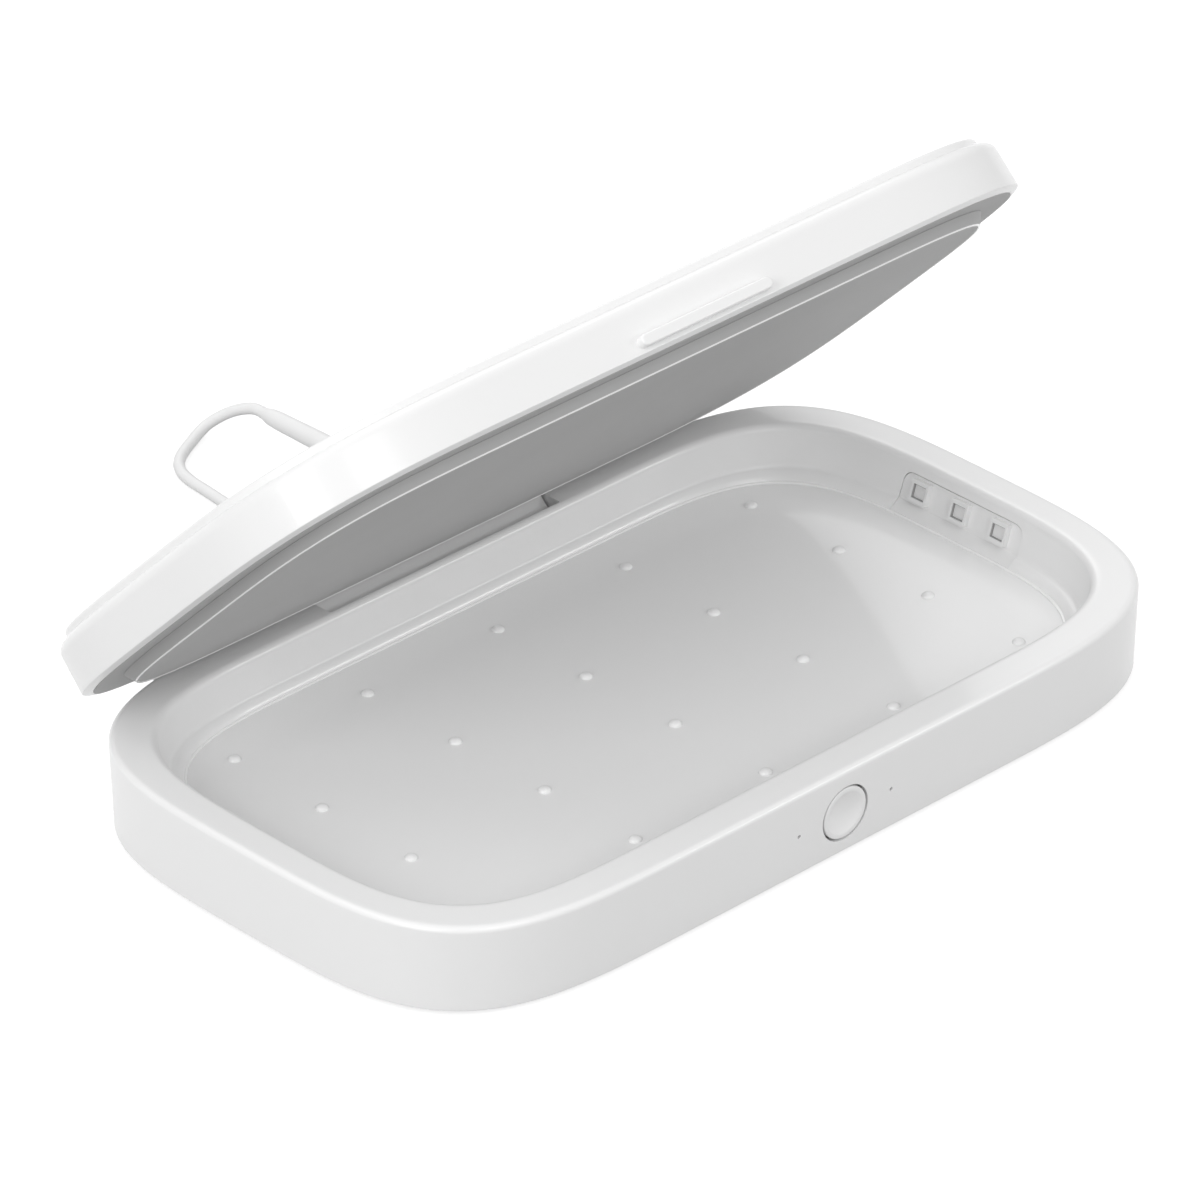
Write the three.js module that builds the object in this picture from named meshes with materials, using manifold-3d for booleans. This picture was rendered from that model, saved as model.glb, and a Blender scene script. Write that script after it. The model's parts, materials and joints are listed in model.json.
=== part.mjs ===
import * as THREE from 'three';
import { mergeVertices } from 'three/addons/utils/BufferGeometryUtils.js';
import Module from 'manifold-3d';

// A sanitizer box for phones: a shallow tray with lamps in its two ends, under a lid on a friction hinge.
// Millimetres. X runs along the box, Y to the back and Z up from the floor that the feet stand on.
// The lid is drawn closed, in the base's own frame, and then turned open about the hinge pin.

const wasm = await Module();
wasm.setup();

// Gaps and steps that all pieces share
const fit = 0.3;
const overrun = 3;
const quarterTurn = Math.PI / 2;
const cornerSteps = 10;
const roundSteps = 3;
const roundSides = 16;
const smallSides = 10;
const holeSides = 8;

// Outlines in plan: straight runs along the front and back, joined by superelliptic ends
const outerForm = { halfLength: 98.45, halfDepth: 57.75, endReach: 59.7, squareness: 3.7 };
const rim = { endWidth: 8, sideWidth: 8.75, innerReach: 50.3, squareness: 3.85 };
const trayForm = {
  halfLength: outerForm.halfLength - rim.endWidth,
  halfDepth: outerForm.halfDepth - rim.sideWidth,
  endReach: rim.innerReach,
  squareness: rim.squareness,
};

// Base, from the floor up
const foot = { lift: 0.8, radius: 5, recess: 0.6, bevel: 0.3, endInset: 32.45, sideInset: 23.75 };
const cover = { thickness: 1.8, post: 0.2, postRadius: 1.5 };
const boardSpace = 4.4;
const tray = {
  floor: 1.8,
  depth: 10.1,
  wall: 1.5,
  rimRound: 1.5,
  crease: { height: 2, insetLength: 2.3, insetDepth: 0.7, drop: 0.7 },
  bandFoot: { insetLength: 4.95, insetDepth: 2.7, out: 0.9 },
};
const housing = { wall: 2, rim: 2, lean: 1.02, rimRound: 1.2, edgeRound: 0.5 };
const nub = {
  radius: 1.3,
  height: 0.8,
  endInset: 22.85,
  sideInset: 12.7,
  countX: 5,
  countY: 4,
  sides: 8,
  rows: 4,
};

const shellEdge = foot.lift;
const coverTop = shellEdge + cover.thickness;
const trayUnder = coverTop + boardSpace;
const trayFloor = trayUnder + tray.floor;
const rimTop = trayFloor + tray.depth;
const shellHeight = rimTop - shellEdge;
const rimUnder = rimTop - housing.rim;

// Hinge
const hinge = {
  backInset: 2.35,
  drop: 4.4,
  restAngle: THREE.MathUtils.degToRad(44.9),
  halfWidth: 30,
  notchFront: 1.6,
  notchFloor: 3.3,
  block: 1.3,
  cheek: 7.5,
  barrelRadius: 2.8,
  pinRadius: 1.1,
  pinHold: 6,
  bushWall: 0.5,
  bushLength: 9,
};
const hingeY = outerForm.halfDepth - hinge.backInset;
const hingeZ = rimTop - hinge.drop;
const notchY = trayForm.halfDepth + hinge.notchFront;
const notchZ = hingeZ - hinge.notchFloor;

// Lid, closed, from the rim up
const lidShell = {
  gap: 0.4,
  height: 10.8,
  wall: 1.8,
  draft: 0.15,
  shoulder: { inset: 2.17, drop: 2.3 },
  edgeRound: 0.3,
};
const liner = {
  sheet: 1.6,
  skirt: 1.2,
  skirtHeight: 1.6,
  lipInset: { length: -0.6, depth: -0.55 },
  platformInset: { length: 0.7, depth: 0.7 },
  platformDrop: 2.3,
};
const topPlate = { thickness: 1.4, inset: 2.35, round: 0.7 };
const reflector = { thickness: 0.6, round: 0.3 };
const grip = { halfLength: 16.5, height: 2.3, proud: 2, lift: 1.4, bevel: 0.4, root: 0.8, round: 1.1 };
const lipZ = rimTop + lidShell.gap;
const lidShoulder = lipZ + lidShell.height;
const lidCeiling = lidShoulder - lidShell.wall;
const platformZ = lipZ - liner.platformDrop;
const seatZ = platformZ + reflector.thickness + fit;
const linerTop = seatZ + liner.sheet;
const lipTop = lipZ + liner.sheet;

// Screws and the bosses that they turn into
const screw = {
  headRadius: 2.2,
  headHeight: 1,
  radius: 1,
  driveRadius: 0.9,
  driveDepth: 0.5,
  driveSides: 6,
  bossWall: 1.6,
};
const bossRadius = screw.radius + fit + screw.bossWall;
const coverScrew = { endInset: 18.45, sideInset: 37.75, length: 4.2 };
const linerScrew = { endInset: 36.45, sideInset: 29.75, length: 8 };
const armScrew = { placeX: 20, length: 5.2 };
const arm = { thickness: 2.8, foot: 2, footDepth: 13, endGap: 0.4, screwInset: 5.5 };

// Button and the small holes beside it, in the leaning front wall
const leanAngle = Math.atan2(housing.lean, shellHeight);
const button = {
  placeZ: 8.45,
  radius: 5.45,
  groove: 0.4,
  ringWidth: 0.9,
  dish: 0.7,
  flangeWidth: 1.1,
  flange: 0.8,
  stemRadius: 1.5,
  stem: 0.5,
  travel: 0.5,
};
const pinhole = { spacing: 12, radius: 0.4, seatRadius: 1.3, seatDepth: 1.2 };
const switchBoard = { halfLength: 23, thickness: 0.8, below: 5.3, above: 4.2, ribWidth: 2 };
const tact = { halfLength: 2.6, halfHeight: 1.75, depth: 1.2, plungerRadius: 1.2, plunger: 0.4 };
const sensor = { placeX: 18, halfLength: 2, height: 2.9, depth: 1 };
const magnet = { radius: 2, thickness: 2 };

// Lamp panels in the tray's end walls
const lamp = {
  pitch: 10.65,
  count: 3,
  height: 4.8,
  bezel: 4.4,
  window: 3,
  proud: 1.3,
  recess: 0.8,
  lens: 2.4,
  packageSize: 3.6,
  packageDepth: 1,
};
const panel = {
  topHalf: 15.9,
  footHalf: 16,
  topHeight: 7.4,
  cornerRadius: 2.5,
  thickness: 1.4,
  flangeWidth: 0.8,
  flange: 0.8,
  footLip: 0.15,
};
const lampBoard = { halfLength: 15, halfHeight: 3, thickness: 1 };

// Boards and what stands on them
const board = { thickness: 1, left: 20, right: 40, depth: 50.36, wallGap: 0.5 };
const chip = { placeX: 0, fromBack: 22.36, size: 7, height: 1 };
const coil = { placeX: 14, fromBack: 30.36, size: 6, height: 2 };
const socket = { placeX: 28, halfWidth: 4.75, height: 3.6, wall: 0.3, length: 6, back: 0.8 };
const ribbon = { width: 8, thickness: 0.4, overlap: 4, rise: 2.6, bossGap: 5.1 };
const boardUnder = coverTop + cover.post + fit;
const boardTop = boardUnder + board.thickness;

// Cable: its plug at the box, its sleeve and the plug at its far end
const cable = { diameter: 2.4, sides: 8, freeSteps: 40, tailSteps: 12, coilSides: 6, floorGap: 0.05 };
const plug = { halfWidth: 5.5, height: 6.5, length: 20, corner: 2.2, bevel: 0.6 };
const plugTip = { halfWidth: 4.15, height: 2.4, length: 6.4, play: 0.6 };
const sleeve = { startRadius: 2.6, endRadius: 1.8, length: 55.5, droop: 0.4, drift: 0.3 };
const farPlug = { halfWidth: 6.5, height: 7.4, length: 18, corner: 1.6, bevel: 0.6, turn: 22, lift: 0.4 };
const farShell = { halfWidth: 6, height: 4.5, length: 12, wall: 0.35, mouth: 10 };
const socketZ = boardTop + fit + socket.height / 2;

// The coil of spare cable behind the box: layers that spiral in and out again
const wound = {
  centreX: 3.5,
  centreY: 21.25,
  radius: 17,
  layers: 4,
  turnsPerLayer: 2.5,
  extraTurn: 0.25,
  climbTurns: 0.25,
  stepsPerTurn: 24,
  strandGap: 0.45,
};
const tie = { width: 6, strap: 0.5, play: 0.6 };

const finishes = {
  whiteShell: { color: 0xf1f1f2, roughness: 0.5, metalness: 0 },
  whiteTray: { color: 0xeeeeef, roughness: 0.45, metalness: 0 },
  whitePanel: { color: 0xf4f4f4, roughness: 0.4, metalness: 0 },
  greyPlate: { color: 0xa8a9ab, roughness: 0.12, metalness: 0.1 },
  rubber: { color: 0xc9cacb, roughness: 0.85, metalness: 0 },
  steel: { color: 0xb9bbbd, roughness: 0.3, metalness: 1 },
  acetal: { color: 0xdcdcd6, roughness: 0.5, metalness: 0 },
  board: { color: 0x1f6a3c, roughness: 0.55, metalness: 0 },
  chip: { color: 0x26272a, roughness: 0.6, metalness: 0 },
  lamp: { color: 0xb9bdc2, roughness: 0.15, metalness: 0 },
  pipe: { color: 0xe8eef2, roughness: 0.2, metalness: 0 },
  ribbon: { color: 0xd8d3c6, roughness: 0.6, metalness: 0 },
  magnet: { color: 0x9a9ca0, roughness: 0.25, metalness: 1 },
  cable: { color: 0xeeeeee, roughness: 0.6, metalness: 0 },
};

// One ring of points round an outline, counterclockwise from above
function ring(form, z, inset = 0, depthInset = inset) {
  const straight = form.halfLength - form.endReach;
  const reach = form.endReach - inset;
  const depth = form.halfDepth - depthInset;
  const quarter = Array.from({ length: cornerSteps + 1 }, (_, step) => {
    const angle = (quarterTurn * step) / cornerSteps;
    const along = straight + reach * Math.cos(angle) ** (2 / form.squareness);
    return [along, depth * Math.sin(angle) ** (2 / form.squareness)];
  });
  const back = quarter.concat(quarter.toReversed().map(([x, y]) => [-x, y]));
  const front = back.slice(1, -1).toReversed().map(([x, y]) => [x, -y]);
  return back.concat(front).map(([x, y]) => new THREE.Vector3(x, y, z));
}

// A skin over a row of rings, closed at both ends by a fan round the ring's middle
function loft(rings) {
  const count = rings[0].length;
  const points = rings.flat();
  const index = [];
  for (let row = 0; row < rings.length - 1; row += 1) {
    for (let i = 0; i < count; i += 1) {
      const a = row * count + i;
      const b = row * count + ((i + 1) % count);
      index.push(a, b, b + count, a, b + count, a + count);
    }
  }
  for (const [row, flip] of [[0, true], [rings.length - 1, false]]) {
    const middle = points.length;
    points.push(rings[row].reduce((sum, p) => sum.add(p), new THREE.Vector3()).divideScalar(count));
    for (let i = 0; i < count; i += 1) {
      const a = row * count + i;
      const b = row * count + ((i + 1) % count);
      index.push(middle, flip ? b : a, flip ? a : b);
    }
  }
  return new THREE.BufferGeometry().setFromPoints(points).setIndex(index);
}

// Shares of a quarter round: along its first leg and up its second
const roundShares = Array.from({ length: roundSteps + 1 }, (_, step) => {
  const angle = (quarterTurn * step) / roundSteps;
  return [1 - Math.cos(angle), Math.sin(angle)];
});

// Solids for joining and cutting
function solid(geometry) {
  const bare = geometry.clone();
  bare.deleteAttribute('normal');
  bare.deleteAttribute('uv');
  const merged = mergeVertices(bare);
  const vertProperties = new Float32Array(merged.attributes.position.array);
  const triVerts = new Uint32Array(merged.index.array);
  return new wasm.Manifold(new wasm.Mesh({ numProp: 3, vertProperties, triVerts }));
}

function geometryOf(shape) {
  if (shape.isBufferGeometry) return shape;
  const { vertProperties, triVerts } = shape.getMesh();
  const geometry = new THREE.BufferGeometry();
  geometry.setAttribute('position', new THREE.BufferAttribute(new Float32Array(vertProperties), 3));
  return geometry.setIndex(new THREE.BufferAttribute(new Uint32Array(triVerts), 1));
}

function blockGeometry([x0, x1], [y0, y1], [z0, z1]) {
  const geometry = new THREE.BoxGeometry(x1 - x0, y1 - y0, z1 - z0);
  return geometry.translate((x0 + x1) / 2, (y0 + y1) / 2, (z0 + z1) / 2);
}

const block = (x, y, z) => solid(blockGeometry(x, y, z));

// A round bar between two points, which a second radius tapers
function bar(from, to, radius, endRadius = radius, sides = smallSides) {
  const start = new THREE.Vector3(...from);
  const end = new THREE.Vector3(...to);
  const axis = end.clone().sub(start);
  const geometry = new THREE.CylinderGeometry(endRadius, radius, axis.length(), sides);
  const turn = new THREE.Quaternion().setFromUnitVectors(new THREE.Vector3(0, 1, 0), axis.normalize());
  return solid(geometry.applyQuaternion(turn).translate(...start.add(end).divideScalar(2).toArray()));
}

// A rounded rectangle, drawn round its own middle
function roundedShape(halfWidth, halfHeight, radius) {
  const shape = new THREE.Shape();
  shape.absarc(halfWidth - radius, halfHeight - radius, radius, 0, quarterTurn);
  shape.absarc(radius - halfWidth, halfHeight - radius, radius, quarterTurn, Math.PI);
  shape.absarc(radius - halfWidth, radius - halfHeight, radius, Math.PI, Math.PI + quarterTurn);
  shape.absarc(halfWidth - radius, radius - halfHeight, radius, Math.PI + quarterTurn, 2 * Math.PI);
  return shape;
}

// A shape in the XZ plane, extruded along +Y from y = 0
function alongY(shape, length, bevel = 0, curveSegments = 3) {
  const settings = { depth: length - 2 * bevel, curveSegments, bevelEnabled: bevel > 0 };
  Object.assign(settings, { bevelSegments: 1, bevelSize: bevel, bevelThickness: bevel, bevelOffset: -bevel });
  const geometry = new THREE.ExtrudeGeometry(shape, settings);
  return geometry.translate(0, 0, bevel - length).rotateX(quarterTurn);
}

function polygon(points) {
  return new THREE.Shape(points.map(([x, y]) => new THREE.Vector2(x, y)));
}

// A pan-head screw that points up from its head, with a six-sided drive
function screwGeometry(length) {
  const head = bar([0, 0, 0], [0, 0, screw.headHeight], screw.headRadius);
  const shank = bar([0, 0, 0], [0, 0, screw.headHeight + length], screw.radius);
  const { driveRadius, driveDepth, driveSides } = screw;
  const drive = bar([0, 0, -overrun], [0, 0, driveDepth], driveRadius, driveRadius, driveSides);
  return geometryOf(head.add(shank).subtract(drive));
}

function corners({ endInset, sideInset }) {
  const x = outerForm.halfLength - endInset;
  const y = outerForm.halfDepth - sideInset;
  return [['front_left', -x, -y], ['front_right', x, -y], ['back_left', -x, y], ['back_right', x, y]];
}

// Groups: the base, the lid drawn closed, the leaning front wall and the cable, which starts at the back wall
const base = new THREE.Group();
const lidTurn = new THREE.Group();
const lid = new THREE.Group();
const front = new THREE.Group();
const cord = new THREE.Group();
lidTurn.position.set(0, hingeY, hingeZ);
lidTurn.rotation.x = -hinge.restAngle;
lid.position.set(0, -hingeY, -hingeZ);
lidTurn.add(lid);
cord.position.y = outerForm.halfDepth;

// Depth along the front wall's own normal, from its outer face
const wallLean = (z) => (housing.lean * (rimTop - z)) / shellHeight;
const buttonZ = shellEdge + button.placeZ;
front.position.set(0, wallLean(buttonZ) - outerForm.halfDepth, buttonZ);
front.rotation.x = leanAngle;

function add(group, name, finish, shape) {
  const geometry = geometryOf(shape);
  geometry.computeVertexNormals();
  const mesh = new THREE.Mesh(geometry, new THREE.MeshStandardMaterial(finishes[finish]));
  mesh.name = name;
  group.add(mesh);
  return mesh;
}

// Lamp panel: a plane through the right end's wall, turned half round for the left one
const creaseZ = trayFloor + tray.crease.height;
const wallTopZ = rimTop - tray.rimRound;
const wallTilt = Math.atan2(tray.crease.insetLength, wallTopZ - creaseZ);
const lampZ = trayFloor + lamp.height;
const lampX = trayForm.halfLength - (wallTopZ - lampZ) * Math.tan(wallTilt);
const panelMatrix = new THREE.Matrix4().makeRotationY(wallTilt).setPosition(lampX, 0, lampZ);
const toPanel = panelMatrix.clone().invert();
const onPanel = (x, z) => new THREE.Vector3(x, 0, z).applyMatrix4(toPanel);
const creaseAt = onPanel(trayForm.halfLength - tray.crease.insetLength, creaseZ);
const bandFootX = trayForm.halfLength - tray.bandFoot.insetLength + panel.footLip;
const footAt = onPanel(bandFootX, trayFloor + panel.footLip);
const panelTop = (trayFloor + panel.topHeight - lampZ) / Math.cos(wallTilt);
const panelBack = panel.thickness;
const flangeFront = tray.wall + fit;
const flangeBack = flangeFront + panel.flange;

function panelOutline(grow) {
  const top = panel.topHalf + grow;
  const side = panel.footHalf + grow;
  const low = footAt.z - overrun;
  const high = panelTop + grow;
  const shape = new THREE.Shape();
  shape.moveTo(-side, low);
  shape.lineTo(side, low);
  shape.lineTo(side, creaseAt.z);
  shape.lineTo(top, high - panel.cornerRadius);
  shape.quadraticCurveTo(top, high, top - panel.cornerRadius, high);
  shape.lineTo(panel.cornerRadius - top, high);
  shape.quadraticCurveTo(-top, high, -top, high - panel.cornerRadius);
  shape.lineTo(-side, creaseAt.z);
  return shape;
}

// The panel's bent sheet, from its face to a depth behind it, in the panel's own frame
function bentSheet(face, back, grow) {
  const band = Math.atan2(creaseAt.x - footAt.x, creaseAt.z - footAt.z);
  const shift = (depth) => depth * Math.tan(band / 2);
  const end = (depth) => [
    footAt.x + depth * Math.cos(band) - grow * Math.sin(band),
    footAt.z - depth * Math.sin(band) - grow * Math.cos(band),
  ];
  const high = panelTop + overrun;
  const section = polygon([
    [face, high],
    [face, creaseAt.z - shift(face)],
    end(face),
    end(back),
    [back, creaseAt.z - shift(back)],
    [back, high],
  ]);
  const halfLength = panel.footHalf + overrun;
  const sheet = solid(alongY(section, 2 * halfLength).translate(0, -halfLength, 0));
  const reach = back - face + 2 * overrun + panel.footHalf;
  const outline = alongY(panelOutline(grow), 2 * reach, 0, 3).rotateZ(-quarterTurn);
  return sheet.intersect(solid(outline.translate(-reach, 0, 0)));
}

const inHousing = (shape) => shape.transform(panelMatrix.elements);
const halfTurned = (shape) => shape.transform(new THREE.Matrix4().makeRotationZ(Math.PI).elements);

function lampPlaces() {
  return Array.from({ length: lamp.count }, (_, i) => (i - (lamp.count - 1) / 2) * lamp.pitch);
}

function lampPanel() {
  let shape = bentSheet(0, panelBack, 0);
  const flangeHalf = panel.footHalf + fit + panel.flangeWidth;
  const flangeTopZ = panelTop + fit + panel.flangeWidth;
  const flange = [creaseAt.z + fit, flangeTopZ];
  const neckHalf = panel.topHalf - panel.cornerRadius;
  const neck = [flange[0], panelTop - fit];
  shape = shape.add(block([panelBack / 2, flangeFront + fit], [-neckHalf, neckHalf], neck));
  shape = shape.add(block([flangeFront, flangeBack], [-flangeHalf, flangeHalf], flange));
  for (const y of lampPlaces()) {
    const half = lamp.bezel / 2;
    shape = shape.add(block([-lamp.proud, panelBack / 2], [y - half, y + half], [-half, half]));
  }
  for (const y of lampPlaces()) {
    const hole = lamp.window / 2;
    const seat = lamp.packageSize / 2 + fit;
    shape = shape.subtract(block([-overrun, flangeBack + overrun], [y - hole, y + hole], [-hole, hole]));
    const depth = [flangeBack - lamp.packageDepth - fit, flangeBack + overrun];
    shape = shape.subtract(block(depth, [y - seat, y + seat], [-seat, seat]));
  }
  return shape;
}

function lampShape() {
  const half = lamp.packageSize / 2;
  const lens = lamp.lens / 2;
  const back = flangeBack;
  const body = block([back - lamp.packageDepth, back], [-half, half], [-half, half]);
  const lensDepth = [lamp.recess - lamp.proud, back - lamp.packageDepth / 2];
  return body.add(block(lensDepth, [-lens, lens], [-lens, lens]));
}

// Upper housing: outer wall, rim, tray with its nubs, the notch for the hinge and seats for what it holds
const onWall = (inset, z) => ring(outerForm, z, inset, inset + wallLean(z));
const frontMatrix = new THREE.Matrix4().makeRotationX(leanAngle).setPosition(front.position);
const inFront = (shape) => shape.transform(frontMatrix.elements);
const flangeSeat = housing.wall + fit;
const stemEnd = flangeSeat + button.flange + button.stem;
const plungerTip = stemEnd + button.travel + fit;
const tactFace = plungerTip + tact.plunger;
const switchFace = tactFace + tact.depth + fit;

function housingShell() {
  const { crease, bandFoot } = tray;
  const outOfTray = (z, inset, depthInset) => ring(trayForm, z, inset, depthInset);
  return loft([
    outOfTray(trayUnder, bandFoot.insetLength - bandFoot.out, bandFoot.insetDepth - bandFoot.out),
    outOfTray(creaseZ - crease.drop, crease.insetLength - tray.wall, crease.insetDepth - tray.wall),
    outOfTray(rimUnder, -tray.wall),
    onWall(housing.wall, rimUnder),
    onWall(housing.wall, shellEdge),
    onWall(housing.edgeRound, shellEdge),
    onWall(0, shellEdge + housing.edgeRound),
    ...roundShares.map(([a, b]) => onWall(housing.rimRound * a, rimTop + housing.rimRound * (b - 1))),
    ...roundShares.toReversed().map(([a, b]) => {
      return outOfTray(rimTop + tray.rimRound * (b - 1), -tray.rimRound * a);
    }),
    outOfTray(creaseZ, crease.insetLength, crease.insetDepth),
    outOfTray(trayFloor, bandFoot.insetLength, bandFoot.insetDepth),
  ]);
}

function nubs() {
  const places = [];
  const spanX = trayForm.halfLength - nub.endInset;
  const spanY = trayForm.halfDepth - nub.sideInset;
  for (let i = 0; i < nub.countX; i += 1) {
    for (let j = 0; j < nub.countY; j += 1) {
      const dome = new THREE.SphereGeometry(1, nub.sides, nub.rows).rotateX(quarterTurn);
      dome.scale(nub.radius, nub.radius, nub.height);
      const x = spanX * ((2 * i) / (nub.countX - 1) - 1);
      const y = spanY * ((2 * j) / (nub.countY - 1) - 1);
      places.push(solid(dome.translate(x, y, trayFloor)));
    }
  }
  return places;
}

function screwBoss(x, y, z0, z1) {
  return bar([x, y, z0], [x, y, z1], bossRadius);
}

function screwHole(x, y, z0, z1) {
  return bar([x, y, z0], [x, y, z1], screw.radius + fit);
}

function upperHousing() {
  let shape = solid(housingShell());
  for (const dome of nubs()) shape = shape.add(dome);
  const wallInside = outerForm.halfDepth - housing.wall / 2;
  const cheek = hinge.halfWidth + hinge.cheek;
  const blockFront = trayForm.halfDepth + tray.wall / 2;
  const blockZ = [notchZ - hinge.block, rimUnder + housing.rim / 2];
  shape = shape.add(block([-cheek, cheek], [blockFront, wallInside], blockZ));
  const notchX = [-hinge.halfWidth, hinge.halfWidth];
  const notchOut = outerForm.halfDepth + overrun;
  shape = shape.subtract(block(notchX, [notchY, notchOut], [notchZ, rimTop + overrun]));
  const pinEnd = hinge.halfWidth + hinge.pinHold + fit;
  const pinHole = bar([-pinEnd, hingeY, hingeZ], [pinEnd, hingeY, hingeZ], hinge.pinRadius + fit);
  shape = shape.subtract(pinHole);
  for (const [, x, y] of corners(coverScrew)) {
    shape = shape.add(screwBoss(x, y, coverTop + fit, trayUnder + tray.floor / 2));
    shape = shape.subtract(screwHole(x, y, coverTop, trayUnder + tray.floor / 4));
  }
  const panelHole = inHousing(bentSheet(-overrun, tray.wall + overrun / 2, fit));
  shape = shape.subtract(panelHole).subtract(halfTurned(panelHole));
  const holeRadius = button.radius + button.groove;
  const holeEnd = [0, flangeSeat + fit, 0];
  shape = shape.subtract(inFront(bar([0, -overrun, 0], holeEnd, holeRadius, holeRadius, roundSides)));
  for (const side of [-1, 1]) {
    const x = side * pinhole.spacing;
    const { radius, seatRadius, seatDepth } = pinhole;
    const seatFrom = [x, housing.wall - seatDepth, 0];
    shape = shape.subtract(inFront(bar([x, -overrun, 0], [x, flangeSeat, 0], radius, radius, holeSides)));
    shape = shape.subtract(inFront(bar(seatFrom, [x, flangeSeat + fit, 0], seatRadius)));
    const ribX = side * (switchBoard.halfLength - switchBoard.ribWidth / 2);
    const ribHalf = switchBoard.ribWidth / 2;
    const ribY = [housing.wall / 2, switchFace - fit];
    const ribZ = [-switchBoard.below, switchBoard.above];
    shape = shape.add(inFront(block([ribX - ribHalf, ribX + ribHalf], ribY, ribZ)));
  }
  const openingHalf = plugTip.halfWidth + plugTip.play;
  const openingHigh = plugTip.height / 2 + plugTip.play;
  const slot = alongY(roundedShape(openingHalf, openingHigh, openingHigh), 2 * overrun + housing.wall);
  const slotY = outerForm.halfDepth - housing.wall - overrun;
  return shape.subtract(solid(slot.translate(socket.placeX, slotY, socketZ)));
}

add(base, 'upper_housing', 'whiteShell', upperHousing());

// Bottom cover with its feet and screws
function bottomCover() {
  const inset = housing.wall + fit;
  let shape = solid(loft([onWall(inset, shellEdge), onWall(inset, coverTop)]));
  for (const [, x, y] of corners(foot)) {
    const seat = bar([x, y, shellEdge - overrun], [x, y, shellEdge + foot.recess], foot.radius + fit);
    shape = shape.subtract(seat);
  }
  for (const [, x, y] of corners(coverScrew)) {
    const seatTop = shellEdge + screw.headHeight + fit;
    const seat = bar([x, y, shellEdge - overrun], [x, y, seatTop], screw.headRadius + fit);
    shape = shape.subtract(seat).subtract(screwHole(x, y, shellEdge, coverTop + overrun));
  }
  for (const x of [-board.left, board.right]) {
    for (const y of [boardFront + cover.postRadius, boardBack - cover.postRadius]) {
      const postX = x - Math.sign(x) * cover.postRadius;
      const low = [postX, y, coverTop - cover.thickness / 2];
      shape = shape.add(bar(low, [postX, y, coverTop + cover.post], cover.postRadius));
    }
  }
  return shape;
}

const boardBack = outerForm.halfDepth - wallLean(boardUnder) - housing.wall - board.wallGap;
const boardFront = boardBack - board.depth;
add(base, 'bottom_cover', 'whiteShell', bottomCover());

for (const [place, x, y] of corners(foot)) {
  const height = foot.lift + foot.recess - fit;
  const { radius, bevel } = foot;
  const profile = [[0, 0], [radius - bevel, 0], [radius, bevel], [radius, height], [0, height]];
  const pad = new THREE.LatheGeometry(profile.map(([r, z]) => new THREE.Vector2(r, z)), roundSides);
  add(base, `foot_${place}`, 'rubber', mergeVertices(pad.rotateX(quarterTurn))).position.set(x, y, 0);
}

for (const [place, x, y] of corners(coverScrew)) {
  add(base, `cover_screw_${place}`, 'steel', screwGeometry(coverScrew.length)).position.set(x, y, shellEdge);
}

// Main board with what it carries
const boardSides = [-board.left, board.right];
const mainBoard = blockGeometry(boardSides, [boardFront, boardBack], [boardUnder, boardTop]);
add(base, 'main_board', 'board', mainBoard);

function socketShape() {
  const half = { x: socket.halfWidth, z: socket.height / 2 };
  const inside = half.z - socket.wall;
  const body = solid(alongY(roundedShape(half.x, half.z, half.z), socket.length));
  const bore = alongY(roundedShape(half.x - socket.wall, inside, inside), socket.length);
  return body.subtract(solid(bore.translate(0, socket.back, 0)));
}

const socketY = boardBack - socket.length;
add(base, 'usb_socket', 'steel', socketShape()).position.set(socket.placeX, socketY, socketZ);

function onBoard(name, finish, { placeX, fromBack, size, height }) {
  const half = size / 2;
  const z = boardTop + fit;
  const shape = blockGeometry([-half, half], [-half, half], [z, z + height]);
  add(base, name, finish, shape.translate(placeX, boardBack - fromBack, 0));
}

onBoard('control_chip', 'chip', chip);
onBoard('power_inductor', 'chip', coil);

// Front wall: button, switch and light pipes, all square to the leaning wall
function powerButton() {
  const ringRadius = button.radius - button.ringWidth;
  const flangeRadius = button.radius + button.flangeWidth;
  const dishShares = [0.35, 0.7, 0.92];
  const dished = dishShares.toReversed().map((share) => {
    return [ringRadius * share, button.dish * (1 - share * share)];
  });
  const profile = [
    [0, stemEnd],
    [button.stemRadius, stemEnd],
    [button.stemRadius, flangeSeat + button.flange],
    [flangeRadius, flangeSeat + button.flange],
    [flangeRadius, flangeSeat],
    [button.radius, flangeSeat],
    [button.radius, button.groove],
    [button.radius - button.groove, 0],
    [ringRadius, 0],
    ...dished,
    [0, button.dish],
  ];
  const points = profile.map(([r, y]) => new THREE.Vector2(r, y));
  return mergeVertices(new THREE.LatheGeometry(points.toReversed(), roundSides));
}

add(front, 'power_button', 'whiteShell', powerButton());

const boardX = [-switchBoard.halfLength, switchBoard.halfLength];
const boardY = [switchFace, switchFace + switchBoard.thickness];
add(front, 'switch_board', 'board', blockGeometry(boardX, boardY, [-switchBoard.below, switchBoard.above]));

const tactX = [-tact.halfLength, tact.halfLength];
const tactY = [tactFace, tactFace + tact.depth];
const tactBody = block(tactX, tactY, [-tact.halfHeight, tact.halfHeight]);
const plunger = bar([0, plungerTip, 0], [0, tactFace + tact.depth / 2, 0], tact.plungerRadius);
add(front, 'tact_switch', 'chip', tactBody.add(plunger));

for (const [place, side] of [['left', -1], ['right', 1]]) {
  const x = side * pinhole.spacing;
  const start = housing.wall - pinhole.seatDepth + fit;
  const pipe = bar([x, start, 0], [x, switchFace - fit, 0], pinhole.seatRadius - fit);
  add(front, `light_pipe_${place}`, 'pipe', pipe);
}

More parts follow.
